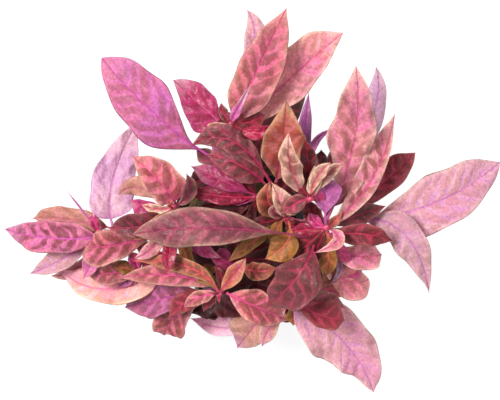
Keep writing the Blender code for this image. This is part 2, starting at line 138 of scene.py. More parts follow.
# A leaf: its middle and tip as (u, v, height in mm), the widths of its halves in mm, its colour, its fold in
# degrees, where it is widest and where its petiole ends, how bright it is painted (its own tone, with painted
# shade below 1 for a leaf deep in the bunch and painted light above 1 for one in shade), and its roll in
# degrees
Leaf = namedtuple(
    "Leaf", "middle tip left right colour fold widest petiole light roll", defaults=(10, 0.55, 0.05, 1, 0))

# The part's grown leaves, each after how far along its stem it grows
LEAVES = {
    "far_left": (
        (0.985, (50, 238, 58), (2, 228, 47), 6.8, 5.8, "mottled", 8, 0.46, 0.08),
        (0.82, (64, 219, 53), (31, 219, 49), 4.6, 5.4, "brown", 10, 0.42, 0.1, 1, 8),
        (0.9, (113, 180, 66), (139, 119, 71), 7.4, 7.6, "lilac", 6, 0.5, 0.1, 1, -10),
    ),
    "left": (
        (0.96, (158, 180, 87), (130, 154, 90), 6, 5.6, "salmon", 10, 0.45, 0.06),
        (0.84, (143, 188, 76), (117, 196, 70), 4.2, 4.4, "brown", 6, 0.5, 0.1),
        (0.66, (142, 226, 73), (108, 228, 71), 3.6, 3.8, "dark", 14, 0.5, 0.1, 1, 10),
        (0.45, (116, 245, 67), (86, 243, 66), 5.8, 6, "brown", 8, 0.6, 0.2),
    ),
    "centre": (
        (0.96, (232, 141, 92), (190, 147, 88), 3.8, 4.4, "dark", 8, 0.5, 0.1),
        (0.84, (240, 165, 84), (205, 155, 82), 5.8, 5.6, "dark", 8, 0.45, 0.1),
        (1, (283, 145, 97), (286, 102, 112), 7.4, 8, "salmon", 12, 0.48, 0.04),
        (0.66, (284, 186, 74), (302, 168, 76), 4.6, 4.6, "dark", 10, 0.55, 0.1),
    ),
    "back": (
        (0.98, (257, 71, 103), (287, 7, 112), 7.6, 9.4, "salmon", 8, 0.44),
        (0.9, (296, 73, 94), (343, 33, 102), 8.2, 6.8, "pink", 8, 0.46, 0.08),
        (0.8, (254, 55, 88), (247, 10, 95), 4.2, 4.4, "pink", 8, 0.55, 0.08),
        (0.94, (203, 107, 93), (172, 79, 95), 5.8, 5.8, "magenta", 12, 0.45, 0.06),
        (0.52, (157, 116, 82), (101, 57, 92), 9.8, 10.4, "pink", 6, 0.52, 0.25),
    ),
    "middle": (
        (1, (291, 166, 106), (289, 132, 115), 4.2, 3.8, "pale", 14, 0.45, 0.06),
    ),
    "right": (
        (0.8, (212, 228, 92), (129, 235, 80), 6.8, 7, "mauve", 6, 0.5, 0.24),
        (0.97, (371, 181, 90), (395, 113, 97), 3.8, 4.8, "salmon", 16, 0.44, 0.04),
        (0.94, (353, 148, 96), (356, 66, 112), 7, 6.8, "salmon", 10, 0.48, 0.16),
        (0.76, (369, 129, 82), (376, 67, 94), 3.6, 3.2, "lilac", 6, 0.55, 0.15),
        (0.7, (381, 184, 76), (415, 153, 82), 5, 4, "dark", 8, 0.55, 0.12),
        (0.92, (362, 234, 82), (394, 241, 76), 3.8, 4.4, "brown", 12, 0.5, 0.04),
        (0.86, (297, 277, 77), (264, 307, 60), 8.6, 6.4, "mauve", 6, 0.52, 0.12),
    ),
    "outer_right": (
        (0.79, (432, 204, 73), (499, 163, 72), 9.4, 10.4, "pale", 6, 0.52, 0.15),
        (0.99, (408, 238, 72), (429, 293, 55), 6.8, 5.6, "pink", 8, 0.45, 0.04),
    ),
    "low_right": (
        (0.86, (345, 343, 36), (374, 394, 17), 10, 7, "pink", 6, 0.44, 0.08),
        (0.96, (320, 315, 57), (346, 320, 54), 4.6, 4.2, "brown", 8, 0.66, 0.06),
        (0.58, (240, 326, 32), (190, 318, 23), 3.2, 2.8, "lilac", 8, 0.55, 0.1),
        (0.8, (257, 323, 42), (236, 350, 25), 6, 7.2, "pale", 8, 0.6, 0.1),
    ),
    "front": (
        (0.95, (168, 275, 67), (116, 279, 56), 4, 4.2, "salmon", 10, 0.45),
        (0.94, (256, 307, 58), (291, 321, 47), 5.4, 4.8, "mauve", 8, 0.5),
        (0.84, (166, 298, 49), (123, 308, 37), 5.6, 6.4, "magenta", 8, 0.55, 0.16),
        (0.6, (179, 313, 42), (164, 338, 28), 6, 6.4, "salmon", 8, 0.64, 0.14),
    ),
    "low_left": (
        (0.74, (104, 289, 44), (57, 267, 38), 5.6, 8, "pale", 8, 0.44, 0.16),
    ),
}

# Young leaves joined at one bud: how far along its stem the bud sits, the colour of its solid, and its leaves
SHOOTS = {
    "far_left": (1, "magenta", (
        ((82, 210, 66), (67, 191, 70), 0.8, 0.8, "violet", 0, 0.5),
        ((94, 222, 64), (92, 212, 66), 1.8, 1.8, "magenta", 10, 0.5),
        ((94, 256, 58), (83, 279, 54), 3, 3.2, "pink", 10, 0.6),
        ((66, 257, 50), (29, 274, 41), 2.8, 3.4, "blush", 10, 0.55, 0.05, 0.95),
        ((84, 265, 42), (50, 276, 31), 3.2, 3, "rose", 10, 0.6),
    )),
    "left": (1, "pale", (
        ((156, 209, 76), (141, 204, 75), 1.6, 1.9, "pale", 16, 0.5),
        ((189, 193, 75), (186, 173, 74), 2.4, 2.8, "mauve", 10, 0.5, 0.05, 0.95),
        ((170, 246, 80), (167, 273, 77), 2.8, 2.8, "crimson", 12),
        ((150, 206, 71), (129, 199, 68), 4.6, 1.8, "magenta", 10, 0.6, 0.05, 0.9),
        ((157, 243, 75), (134, 258, 71), 2.8, 3, "rose", 10, 0.55, 0.05, 0.95),
        ((192, 240, 70), (222, 258, 66), 2.8, 2.6, "magenta", 10, 0.6),
    )),
    "back": (1, "lilac", (
        ((240, 105, 101), (251, 84, 108), 1.4, 1.4, "lilac", 40, 0.5),
        ((224, 114, 98), (221, 103, 101), 2, 2, "dusk", 16, 0.5),
        ((255, 133, 97), (272, 124, 98), 2.6, 2.6, "crimson", 12),
    )),
    "middle": (1, "pale", (
        ((318, 176, 102), (331, 163, 106), 2.6, 3, "pale", 16),
        ((296, 203, 92), (282, 214, 88), 2.2, 2.2, "dusk", 14, 0.5, 0.05, 1.2),
        ((311, 150, 94), (338, 128, 94), 1.6, 1.6, "violet", 14, 0.45),
        ((309, 167, 100), (304, 139, 107), 3.2, 3.6, "dark", 14, 0.5, 0.08, 1.3),
        ((306, 146, 90), (309, 93, 98), 3, 2, "violet", 10, 0.6, 0.08, 0.85),
        ((330, 162, 84), (340, 134, 86), 3, 3.2, "dusk", 12),
    )),
    "right": (1, "pale", (
        ((338, 240, 87), (314, 253, 82), 2, 2, "rose", 20, 0.5),
        ((328, 255, 74), (326, 277, 66), 3.5, 3.5, "olive", 12, 0.55, 0.05, 1.15),
        ((325, 199, 92), (327, 174, 93), 3.8, 4.4, "violet", 8, 0.6, 0.2, 1.05),
    )),
    "front": (1, "salmon", (
        ((200, 297, 66), (183, 308, 59), 2.8, 2.6, "salmon", 12, 0.5),
        ((234, 275, 72), (246, 258, 76), 3.2, 3, "gold", 14, 0.5, 0.05, 1.05),
        ((188, 267, 74), (132, 261, 64), 3, 3, "brown", 10, 0.55, 0.05, 1.05),
        ((190, 300, 56), (168, 318, 47), 3.4, 4, "wine"),
    )),
    "low_right": (1, "brown", (
        ((310, 298, 55), (329, 291, 55), 2.4, 2.4, "brown"),
        ((320, 302, 54), (346, 308, 50), 3.4, 2.6, "salmon", 10, 0.6),
    )),
    "low_left": (1, "salmon", (
        ((112, 273, 55), (88, 277, 49), 4.8, 4.4, "salmon", 10, 0.5, 0.05, 0.95),
        ((136, 262, 60), (128, 252, 62), 2.6, 2.6, "magenta"),
    )),
    "middle_side": (0.62, "brown", (
        ((269, 203, 84), (270, 181, 90), 4.8, 3.4, "brown", 24, 0.5, 0.05, 1.1),
        ((288, 240, 76), (265, 259, 72), 3.6, 3.6, "olive", 10, 0.6, 0.2, 1.2),
        ((299, 238, 73), (293, 251, 70), 2.4, 2.4, "olive", 10, 0.5, 0.1),
        ((258, 238, 75), (228, 262, 72), 2.6, 2.6, "olive", 10, 0.6, 0.1, 0.85),
    )),
    "centre_side": (0.6, "magenta", (
        ((226, 182, 75), (190, 166, 74), 3.8, 3.6, "magenta", 6, 0.6, 0.08, 0.72),
        ((222, 196, 70), (185, 190, 70), 3.6, 3.4, "crimson", 12, 0.5, 0.08),
        ((232, 204, 62), (196, 207, 57), 5.2, 5.2, "dark", 8, 0.5, 0.08, 0.8),
        ((244, 222, 58), (224, 244, 52), 5, 5, "dark", 8, 0.55, 0.08, 0.7),
    )),
    "back_side": (0.35, "pink", (
        ((221, 152, 68), (214, 128, 71), 3.2, 3.2, "pink", 8, 0.55, 0.08),
        ((250, 102, 62), (264, 58, 50), 6.4, 6.4, "mauve", 8, 0.5, 0.08),
        ((280, 118, 62), (304, 74, 52), 5.6, 5.6, "dark", 8, 0.5, 0.08),
        ((208, 178, 58), (186, 184, 53), 4.8, 4.8, "dark", 8, 0.55, 0.08),
    )),
    "right_side": (0.5, "salmon", (
        ((354, 256, 68), (383, 254, 65), 4, 5.4, "rose", 8, 0.64, 0.1, 1.05),
        ((343, 279, 60), (370, 278, 53), 7, 6.4, "rose", 8, 0.58, 0.1, 1.18),
        ((338, 262, 64), (329, 285, 60), 1.5, 1.5, "lilac", 10, 0.5),
    )),
    "front_side": (0.3, "brown", (
        ((255, 271, 65), (277, 267, 67), 3.4, 3.4, "brown", 8, 0.55, 0.1, 1.15),
        ((212, 254, 60), (184, 252, 58), 4.4, 4.4, "dark", 8, 0.5, 0.1, 0.8),
        ((268, 260, 60), (296, 270, 58), 4.8, 4.8, "dark", 8, 0.5, 0.1, 0.8),
        ((208, 270, 54), (182, 279, 49), 4.4, 4.4, "dark", 8, 0.5, 0.1, 0.7),
    )),
}

# Smaller young leaves of the same shoots, within the reach of the part's solids
SMALL = {
    "left": (
        ((190, 216, 74), (205, 226, 70), 3, 3, "dark"),
        ((168, 200, 80), (160, 194, 81), 1.6, 1.6, "brown", 14, 0.5),
        ((186, 256, 68), (194, 271, 64), 2.6, 2.6, "olive", 10, 0.6),
        ((180, 236, 72), (193, 258, 67), 2.6, 2.6, "olive", 10, 0.6),
        ((152, 226, 72), (134, 240, 69), 2.6, 2.6, "brown"),
    ),
    "middle": (
        ((314, 184, 98), (318, 160, 102), 2.6, 2.6, "pale", 16, 0.5),
        ((327, 175, 99), (344, 164, 101), 2.4, 2.4, "pale", 16, 0.5),
        ((303, 192, 86), (292, 190, 84), 4, 4, "dark", 10, 0.5),
        ((300, 184, 98), (294, 168, 100), 2.4, 2.4, "dark", 14, 0.5),
        ((318, 196, 94), (324, 205, 90), 2, 2, "magenta", 14, 0.5),
        ((300, 172, 88), (298, 150, 88), 3.8, 3.8, "dark", 12),
        ((319, 168, 86), (321, 150, 86), 2.8, 2.8, "dark", 12),
        ((292, 208, 84), (284, 196, 84), 3, 3, "mauve", 12),
    ),
    "right": (
        ((314, 216, 80), (304, 198, 82), 3.4, 3.4, "wine"),
        ((306, 230, 78), (290, 232, 76), 2.8, 2.8, "crimson"),
        ((356, 216, 78), (386, 206, 78), 3.6, 3.6, "dusk"),
        ((334, 222, 84), (342, 212, 86), 1.8, 1.8, "brown", 14, 0.5),
        ((316, 222, 82), (308, 212, 82), 2.2, 2.2, "magenta", 12, 0.5),
        ((318, 246, 78), (312, 268, 70), 2.6, 2.6, "dark", 12),
        ((308, 244, 74), (291, 259, 66), 5, 5, "wine", 12),
        ((340, 250, 74), (350, 262, 68), 2.6, 2.6, "magenta", 12),
        ((345, 232, 78), (362, 226, 76), 2, 2, "dark", 12),
    ),
    "back": (
        ((236, 112, 99), (243, 100, 103), 2, 2, "pink", 16, 0.5),
        ((242, 130, 96), (252, 140, 92), 2.2, 2.2, "dark", 12, 0.5),
        ((248, 122, 93), (266, 114, 92), 4.2, 4.2, "wine", 10, 0.5),
        ((226, 122, 92), (222, 108, 92), 4, 4, "dark", 10, 0.5),
        ((216, 128, 92), (204, 134, 88), 2.4, 2.4, "mauve", 12),
    ),
    "front": (
        # Dark leaves kept dim in the hollow before the pot: painted shade filling it
        ((226, 303, 51), (246, 317, 41), 5.2, 5.2, "wine", 8, 0.5, 0.05, 0.62),
        ((204, 302, 48), (189, 313, 42), 5.6, 5.6, "dark", 8, 0.5, 0.05, 0.7),
        ((214, 311, 42), (215, 318, 38), 4.4, 4.4, "dark", 8, 0.5, 0.05, 0.6),
        ((210, 300, 62), (203, 312, 57), 2.2, 2.2, "wine", 12, 0.5),
        ((205, 277, 68), (178, 270, 64), 2.8, 2.8, "olive"),
        ((222, 279, 70), (214, 266, 72), 2, 2, "dark", 14, 0.5),
        ((236, 285, 56), (252, 283, 54), 5.6, 5.6, "dark", 8, 0.5, 0.05, 0.5),
    ),
    "low_right": (
        ((316, 289, 50), (346, 297, 46), 5.6, 4.6, "salmon", 8),
        ((306, 284, 52), (324, 277, 54), 3.2, 3.2, "brown", 8),
        ((290, 310, 50), (280, 322, 44), 4.4, 4.4, "wine", 8),
        ((272, 324, 46), (262, 347, 38), 3.2, 3.2, "peach", 8, 0.6),
        ((294, 314, 50), (293, 326, 46), 3, 3, "olive", 8),
        ((300, 302, 56), (304, 312, 53), 1.8, 1.8, "wine", 12, 0.5),
        ((296, 294, 58), (306, 286, 60), 1.8, 1.8, "brown", 12, 0.5),
    ),
    "low_left": (
        ((126, 268, 57), (112, 262, 57), 2.6, 2.6, "olive"),
        ((150, 256, 58), (134, 245, 61), 4.2, 4.2, "mauve", 8),
        ((160, 264, 58), (184, 256, 60), 4.4, 4.4, "crimson", 8),
        ((142, 286, 48), (126, 302, 40), 5, 5, "rose", 8),
        ((128, 278, 52), (118, 288, 48), 2.8, 2.8, "pink"),
    ),
    "far_left": (
        ((110, 238, 60), (118, 248, 58), 2.4, 2.4, "brown"),
        ((104, 244, 58), (103, 260, 54), 2.6, 2.6, "brown"),
    ),
    "middle_side": (
        ((282, 207, 87), (271, 181, 92), 2.4, 5.4, "pale", 12, 0.5),
        ((274, 212, 82), (284, 204, 84), 2.2, 2.2, "mauve", 14, 0.5),
        ((276, 232, 76), (280, 250, 72), 2.8, 2.8, "olive", 10, 0.55, 0.1),
        ((292, 226, 76), (305, 222, 76), 2.6, 2.6, "dark", 10, 0.55, 0.1),
        ((266, 222, 76), (252, 226, 74), 3, 3, "dark", 10, 0.55, 0.1),
    ),
    "centre_side": (
        ((246, 186, 72), (232, 172, 74), 3.4, 3.4, "dark", 8, 0.5, 0.08),
        ((240, 196, 68), (214, 196, 66), 3.4, 3.4, "magenta", 8, 0.5, 0.08),
        ((256, 212, 62), (262, 228, 58), 3.6, 3.6, "dark", 8, 0.55, 0.08),
        ((234, 214, 58), (208, 226, 54), 4.4, 4.4, "dark", 8, 0.55, 0.08),
    ),
    "back_side": (
        ((232, 148, 64), (240, 128, 64), 3.8, 3.8, "dark", 8, 0.55, 0.08),
        ((250, 152, 62), (278, 140, 60), 4.2, 4.2, "dark", 8, 0.55, 0.08),
        ((210, 160, 60), (196, 148, 60), 3.4, 3.4, "mauve", 8, 0.55, 0.08),
        ((258, 168, 58), (290, 160, 56), 4.2, 4.2, "dark", 8, 0.55, 0.08),
    ),
    "right_side": (
        ((330, 268, 62), (320, 286, 58), 3.4, 3.4, "brown", 10, 0.55, 0.08),
        ((322, 262, 62), (310, 280, 56), 3.4, 3.4, "dark", 10, 0.55, 0.08),
        ((346, 268, 62), (361, 267, 60), 3, 3, "magenta", 10, 0.55, 0.08),
    ),
    "front_side": (
        ((254, 283, 50), (272, 291, 46), 4, 4, "dark", 8, 0.55, 0.08, 0.6),
        ((226, 262, 60), (210, 244, 60), 3.6, 3.6, "magenta", 8, 0.55, 0.08),
        ((252, 252, 58), (272, 244, 58), 4.2, 4.2, "dark", 8, 0.55, 0.08),
        ((236, 250, 58), (240, 234, 58), 4.2, 4.2, "dark", 8, 0.55, 0.08),
        ((262, 274, 58), (276, 288, 54), 3.2, 3.2, "dark", 8, 0.55, 0.08),
        ((214, 264, 56), (196, 266, 54), 3.6, 3.6, "olive", 8, 0.55, 0.08),
    ),
}

# What sets one leaf apart: its look, how bright it is painted (its own tone, with painted shade below 1 for a
# leaf deep in the bunch and painted light above 1 for one in shade), how strong its blotches are, and how
# much wider its halves are than the part's; in mm, its margin's waves, how far its margins curve down, its
# crinkles and how far its tip bends down; how many waves it has, its twist in degrees, how strongly it tapers
# to its tip and to its base, how uneven its outline is, and how much nearer the tip its left half is widest
# than its right half; then where it is widest and where its petiole ends, if those aren't the part's
Detail = namedtuple(
    "Detail",
    "look light blotch left right wave curl crinkle droop waves twist taper neck ragged skew widest petiole",
    defaults=(None, 1.0, 1.0, 1.0, 1.0, 1.25, 0.9, 0.7, 1.2, 2.6, 0, 0.45, 0.25, 1.4, 0, None, None))
YOUNG = Detail(wave=1.0, curl=0.7, crinkle=0.6, droop=0.8, waves=2.2)

DETAILS = {
    "far_left_leaf_1": Detail("mottled", 1.02, 1.1, 0.9, 1.2, petiole=0.05),
    "far_left_leaf_2": Detail("tan", 0.96, left=0.9, widest=0.36),
    "far_left_leaf_3": Detail(
        "lilac", left=1.16, right=1.22, wave=1.2, taper=0.1, neck=0, skew=-0.02, widest=0.29),
    "left_leaf_1": Detail("salmon", 1.05, right=1.42, neck=0, widest=0.38),
    "left_leaf_2": Detail("tan", 0.85, left=0.8),
    "left_leaf_3": Detail("dusk", 0.85, right=1.5),
    "left_leaf_4": Detail("salmon", 0.95, 1.2, 1.3),
    "centre_leaf_1": Detail("dusk", 0.88, left=1.1, right=1.15, crinkle=0.5),
    "centre_leaf_2": Detail("dusk", 0.98),
    "centre_leaf_3": Detail("gold", 0.9, 1.1, crinkle=0.6),
    "centre_leaf_4": Detail("dark"),
    "back_leaf_1": Detail("salmon", 0.95, wave=1, waves=3.2, taper=0.3),
    "back_leaf_2": Detail("rose", 1.2, 0.8, 1.18, 1.17, wave=1.4, taper=0.25, skew=0.08, widest=0.44),
    "back_leaf_3": Detail("blush"),
    "back_leaf_4": Detail(
        "magenta", 0.73, left=1.4, right=1.1, wave=1.1, crinkle=0.8, droop=2, waves=3, taper=0.2,
        skew=-0.16),
    "back_leaf_5": Detail(
        "pink", 0.9, 1.1, 1.08, 1.1, wave=1.4, droop=1.8, waves=1.6, taper=0.1, neck=1, skew=-0.08,
        widest=0.57, petiole=0.12),
    "middle_leaf_1": Detail("pale", 0.95, 1.2, wave=1.4, crinkle=1, waves=3, twist=22, ragged=2.4),
    "right_leaf_1": Detail("mauve", 0.74, curl=1.2, waves=2, neck=0.9, widest=0.55, petiole=0.1),
    "right_leaf_2": Detail("rose", 0.96, 1.25, 1.85, 0.64, wave=1.5, crinkle=0.8, skew=0.08, widest=0.5),
    "right_leaf_3": Detail(
        "rose", 0.95, 1.1, 1.28, 1.12, wave=2.6, crinkle=1, waves=2.8, taper=0.2, ragged=2.8, skew=0.09,
        petiole=0.14),
    "right_leaf_4": Detail("lilac", 0.86, left=1.2, right=1.2),
    "right_leaf_5": Detail("wine", 1.05, left=1.2, right=1.2),
    "right_leaf_6": Detail("wine", blotch=1.2, crinkle=0.5),
    "right_leaf_7": Detail("dusk", 0.88, left=1.1, right=1.1, curl=1.2, droop=0.6),
    "outer_right_leaf_1": Detail(
        "blush", 0.97, 1.2, 1.13, wave=1.5, droop=-0.6, waves=1.6, taper=0.1, skew=0.07, widest=0.52,
        petiole=0.1),
    "outer_right_leaf_2": Detail("blush", 0.93, 0.8, 0.9, 1.15, wave=1.3, droop=0.3),
    "low_right_leaf_1": Detail("blush", 1.08, 0.6, 1.06, 1.5, wave=1.4, taper=0.2, skew=0.05, widest=0.36),
    "low_right_leaf_2": Detail("wine", 1.05, 0.7, 1.4, 1.15, widest=0.6),
    # Made brighter with painted light: this leaf lies low in the shade of the pot's rim
    "low_right_leaf_3": Detail("lilac", 1.25, right=1.9, widest=0.66),
    "low_right_leaf_4": Detail("peach", 0.9, right=1.25),
    "front_leaf_1": Detail("salmon", 0.88),
    "front_leaf_2": Detail("salmon", 1.24, 0.9, 1.15, 1.25),
    "front_leaf_3": Detail("mottled", 0.86, 0.7, 1.1, 1.1),
    "front_leaf_4": Detail("salmon", 0.96, left=1.1, right=1.1),
    "low_left_leaf_1": Detail(
        "peach", 1.16, left=1.13, right=1.2, wave=1.4, neck=0, skew=-0.06, widest=0.38, petiole=0.06),
    "far_left_1": YOUNG._replace(left=0.5, right=0.5),
    "far_left_4": YOUNG._replace(left=1.4, right=1.3),
    "middle_1": YOUNG._replace(right=0.75),
    "middle_2": YOUNG._replace(left=1.4, right=1.4),
    "middle_6": YOUNG._replace(left=0.6, right=0.6),
    "right_1": YOUNG._replace(left=1.3),
    "right_3": YOUNG._replace(left=1.35, right=1.35),
    "low_right_2": YOUNG._replace(left=1.2, right=1.3),
    "middle_side_2": YOUNG._replace(left=1.45, right=1.35),
    "centre_side_1": YOUNG._replace(blotch=0.8, wave=1.4),
    "right_side_1": YOUNG._replace(left=1.25),
    "right_side_2": YOUNG._replace(left=1.1, taper=0, widest=0.66),
}

def levels(code):
    """The red, green and blue of a screen colour's hexadecimal code, from 0 to 255."""
    return [code >> shift & 255 for shift in (16, 8, 0)]


def linear(parts):
    """The linear colour of red, green and blue from 0 to 255."""
    parts = [part / 255 for part in parts]
    return tuple(p / 12.92 if p < 0.04045 else ((p + 0.055) / 1.055) ** 2.4 for p in parts)


def srgb(code):
    return linear(levels(code))


def whole(parts):
    return [max(DARKEST, min(255, round(part))) for part in parts]


def leaf_colour(code, tint):
    """A richer and darker colour than its code, the more so the darker it is, and then tinted."""
    parts = levels(code)
    grey = sum(part * weight for part, weight in zip(parts, (0.299, 0.587, 0.114)))
    dark = 1 - grey / 255
    rich, dim = 1 + RICHER * dark, 1 - DARKER * dark
    parts = whole((grey + (part - grey) * rich) * dim for part in parts)
    return linear(whole(part * share for part, share in zip(parts, tint)))


# Leaf colours: between the veins, the blotches there, the veins, the midrib, the margin, the tip, patches of
# painted sheen and the underside; then how strong the blotches, veins, margin, tip and painted sheen are, how
# much light comes through, the roughness and the gloss. A tint goes over all eight colours
Look = namedtuple(
    "Look", "field blotch vein midrib margin tip bloom under "
    "blotches veins edges tips blooms through roughness gloss", defaults=(0.28,))


def look(colours, *numbers, tint=(1, 1, 1)):
    return Look(*(leaf_colour(code, tint) for code in colours), *numbers)


LOOKS = {
    "pink": look(
        (0xda7ea6, 0xa05868, 0xd276c2, 0xc854ac, 0xcc8296, 0xe49eb2, 0xd27cc2, 0xd682b4),
        0.75, 0.5, 0.4, 0.4, 0.65, 0.32, 0.45),
    "blush": look(
        (0xe8b6c0, 0xcc8892, 0xda94ce, 0xd684c6, 0xecc8bc, 0xe8b8c2, 0xe29ec6, 0xe4a2c4),
        0.55, 0.6, 0.55, 0.45, 0.65, 0.36, 0.42, tint=(0.99, 1.025, 1)),
    "lilac": look(
        (0xeab8d0, 0xd896b4, 0xd694c8, 0xca7eb6, 0xe6b4ce, 0xecc0d8, 0xdaa0d4, 0xd696c6),
        0.25, 0.4, 0.3, 0.4, 0.7, 0.42, 0.42, tint=(1.01, 1.11, 1.03)),
    "salmon": look(
        (0xd26e74, 0x86403a, 0xe66c8c, 0xd64e7e, 0xe4b094, 0xe6a296, 0xd47298, 0xc86888),
        0.95, 0.6, 0.6, 0.5, 0.45, 0.28, 0.46, tint=(0.965, 1.015, 1.05)),
    "rose": look(
        (0xe49298, 0xa65a56, 0xe06c94, 0xce5480, 0xf0c4aa, 0xecb4aa, 0xd87ca6, 0xd67c96),
        0.8, 0.55, 0.75, 0.55, 0.6, 0.32, 0.42, tint=(1, 1.055, 1.07)),
    "gold": look(
        (0xce7c64, 0xb24432, 0xd86874, 0xc44c62, 0xd4a86e, 0xd8a47a, 0xbe627a, 0xbe6e78),
        0.8, 0.5, 0.8, 0.6, 0.6, 0.24, 0.44, tint=(0.955, 0.97, 1.05)),
    "mottled": look(
        (0xd67894, 0x884452, 0xe078b2, 0xce60ac, 0xd8909e, 0xd6a6ce, 0xce82bc, 0xc86ea0),
        1.0, 0.65, 0.45, 0.75, 0.55, 0.30, 0.46),
    "mauve": look(
        (0x904652, 0x66343a, 0xbc526e, 0xa43860, 0xd6b094, 0xc8908c, 0x9e546c, 0xb02e4e),
        0.9, 0.6, 0.6, 0.5, 0.6, 0.14, 0.44),
    "dusk": look(
        (0x743238, 0x4c2624, 0xa8405a, 0xa02e52, 0xa86c6c, 0x9c605e, 0x843c50, 0x962e4a),
        0.85, 0.55, 0.45, 0.35, 0.5, 0.12, 0.42),
    "magenta": look(
        (0xb23060, 0x7a1a36, 0xd2548c, 0xce4a80, 0xbe5890, 0xe2a6b4, 0xb43e88, 0xb43c78),
        0.55, 0.45, 0.35, 0.75, 0.35, 0.20, 0.36, 0.4),
    "crimson": look(
        (0x9c1a3e, 0x620c20, 0xbc365c, 0xbe3058, 0x942c4c, 0xb04260, 0xa02254, 0xaa285a),
        0.6, 0.35, 0.3, 0.35, 0.25, 0.16, 0.32, 0.45, tint=(0.95, 0.95, 0.95)),
    "wine": look(
        (0x922e3e, 0x5a1e22, 0xbc4a60, 0xb43a56, 0x9c5c52, 0xaa5c5a, 0x983652, 0x8c3248),
        0.85, 0.55, 0.55, 0.35, 0.45, 0.14, 0.42, tint=(0.96, 0.94, 0.97)),
    "brown": look(
        (0xa0523e, 0x602e20, 0xd26260, 0xc85458, 0xb88e5e, 0xca886c, 0xac5658, 0x965050),
        0.9, 0.65, 0.65, 0.4, 0.35, 0.18, 0.46, tint=(0.98, 0.99, 1.08)),
    "tan": look(
        (0xdc9888, 0xb47464, 0xe08898, 0xd0708a, 0xe4a8a0, 0xe4b0a2, 0xdc929c, 0xce828c),
        0.5, 0.5, 0.5, 0.4, 0.5, 0.36, 0.48, tint=(0.98, 1.05, 1.01)),
    "olive": look(
        (0xa06c34, 0x6a421e, 0xce7254, 0xd06a5c, 0xa28444, 0xbe8c58, 0xb26846, 0x92623c),
        0.75, 0.65, 0.5, 0.3, 0.3, 0.18, 0.46, tint=(0.94, 0.93, 0.95)),
    # Deep maroon, made darker still: painted shade for the leaves deep inside the bunch
    "dark": look(
        (0x5c1a22, 0x2e0e12, 0x882638, 0x922238, 0x6c3c32, 0x723838, 0x602032, 0x541e2c),
        0.85, 0.5, 0.4, 0.3, 0.35, 0.08, 0.44, 0.2, tint=(0.92, 0.9, 0.92)),
    "peach": look(
        (0xeebea8, 0xc88278, 0xde90b8, 0xd4729e, 0xf2dab4, 0xdc90d0, 0xde90c4, 0xdea0b0),
        0.55, 0.5, 0.7, 0.6, 0.55, 0.36, 0.46),
    "violet": look(
        (0xa05284, 0x8a3c68, 0xb8689c, 0xae5890, 0xc486b4, 0xc88cb8, 0x9a5896, 0xaa64a0),
        0.4, 0.35, 0.45, 0.4, 0.5, 0.22, 0.34),
    "pale": look(
        (0xe2b4a4, 0x985e56, 0xce7082, 0xc8546e, 0xead0ae, 0xeac8b2, 0xc6969e, 0xdcaaaa),
        1.0, 0.6, 0.75, 0.5, 0.45, 0.32, 0.46),
}

class Value:
    """A node's output that takes part in sums."""

    def __init__(self, graph, socket):
        self.graph, self.socket = graph, socket

    def __add__(self, other):
        return self.graph.math("ADD", self, other)

    def __sub__(self, other):
        return self.graph.math("SUBTRACT", self, other)

    def __rsub__(self, other):
        return self.graph.math("SUBTRACT", other, self)

    def __mul__(self, other):
        return self.graph.math("MULTIPLY", self, other)

    def __truediv__(self, other):
        return self.graph.math("DIVIDE", self, other)


class Graph:
    """Short names for making a material's nodes."""

    def __init__(self, name):
        self.material = bpy.data.materials.new(name)
        self.material.use_nodes = True
        self.tree = self.material.node_tree
        self.tree.nodes.clear()
        self.place = self.node("TexCoord", output="Object")

    def put(self, socket, value):
        if isinstance(value, Value):
            self.tree.links.new(value.socket, socket)
        elif value is not None:
            socket.default_value = (*value, 1) if socket.type == "RGBA" else value

    def node(self, kind, inputs=(), output=0, **settings):
        """One output of a new node with these settings and inputs."""
        made = self.tree.nodes.new("ShaderNode" + kind)
        for key, value in settings.items():
            setattr(made, key, value)
        for key, value in dict(inputs).items():
            self.put(made.inputs[key], value)
        return Value(self, made.outputs[output])

    def parts(self, name):
        """The three numbers of a mesh attribute."""
        vector = self.node("Attribute", output="Vector", attribute_type="GEOMETRY", attribute_name=name)
        split = self.node("SeparateXYZ", {0: vector}).socket.node
        return [Value(self, socket) for socket in split.outputs]

    def math(self, operation, *values):
        return self.node("Math", enumerate(values), operation=operation)

    def step(self, value, low, high, start=0.0, end=1.0):
        """A smooth rise from start to end as the value goes from low to high."""
        values = value, low, high, start, end
        return self.node("MapRange", enumerate(values), interpolation_type="SMOOTHSTEP")

    def mix(self, share, first, second, blend="MIX"):
        inputs = {0: share, 6: first, 7: second}
        return self.node("Mix", inputs, 2, data_type="RGBA", blend_type=blend, clamp_factor=True)

    def paint(self, colour, *layers):
        """The colour with each layer laid over it by its share."""
        for share, layer in layers:
            colour = self.mix(share, colour, layer)
        return colour

    def noise(self, scale, detail=2, roughness=0.5, w=None, vector=None):
        """Noise over the piece's own places, or over a vector; w picks another pattern of it."""
        inputs = {"Vector": vector or self.place, "Scale": scale, "Detail": detail, "Roughness": roughness}
        if w is None:
            return self.node("TexNoise", inputs)
        return self.node("TexNoise", {**inputs, "W": w}, noise_dimensions="4D")

    def bump(self, height, distance, strength):
        return self.node("Bump", {"Height": height, "Distance": distance, "Strength": strength})

    def principled(self, colour, roughness, normal=None, gloss=0.5):
        inputs = {"Base Color": colour, "Roughness": roughness, "Normal": normal, "Specular IOR Level": gloss}
        return self.node("BsdfPrincipled", inputs)

    def shader_mix(self, share, first, second):
        return self.node("MixShader", enumerate((share, first, second)))

    def finish(self, shader):
        self.put(self.tree.nodes.new("ShaderNodeOutputMaterial").inputs[0], shader)
        return self.material


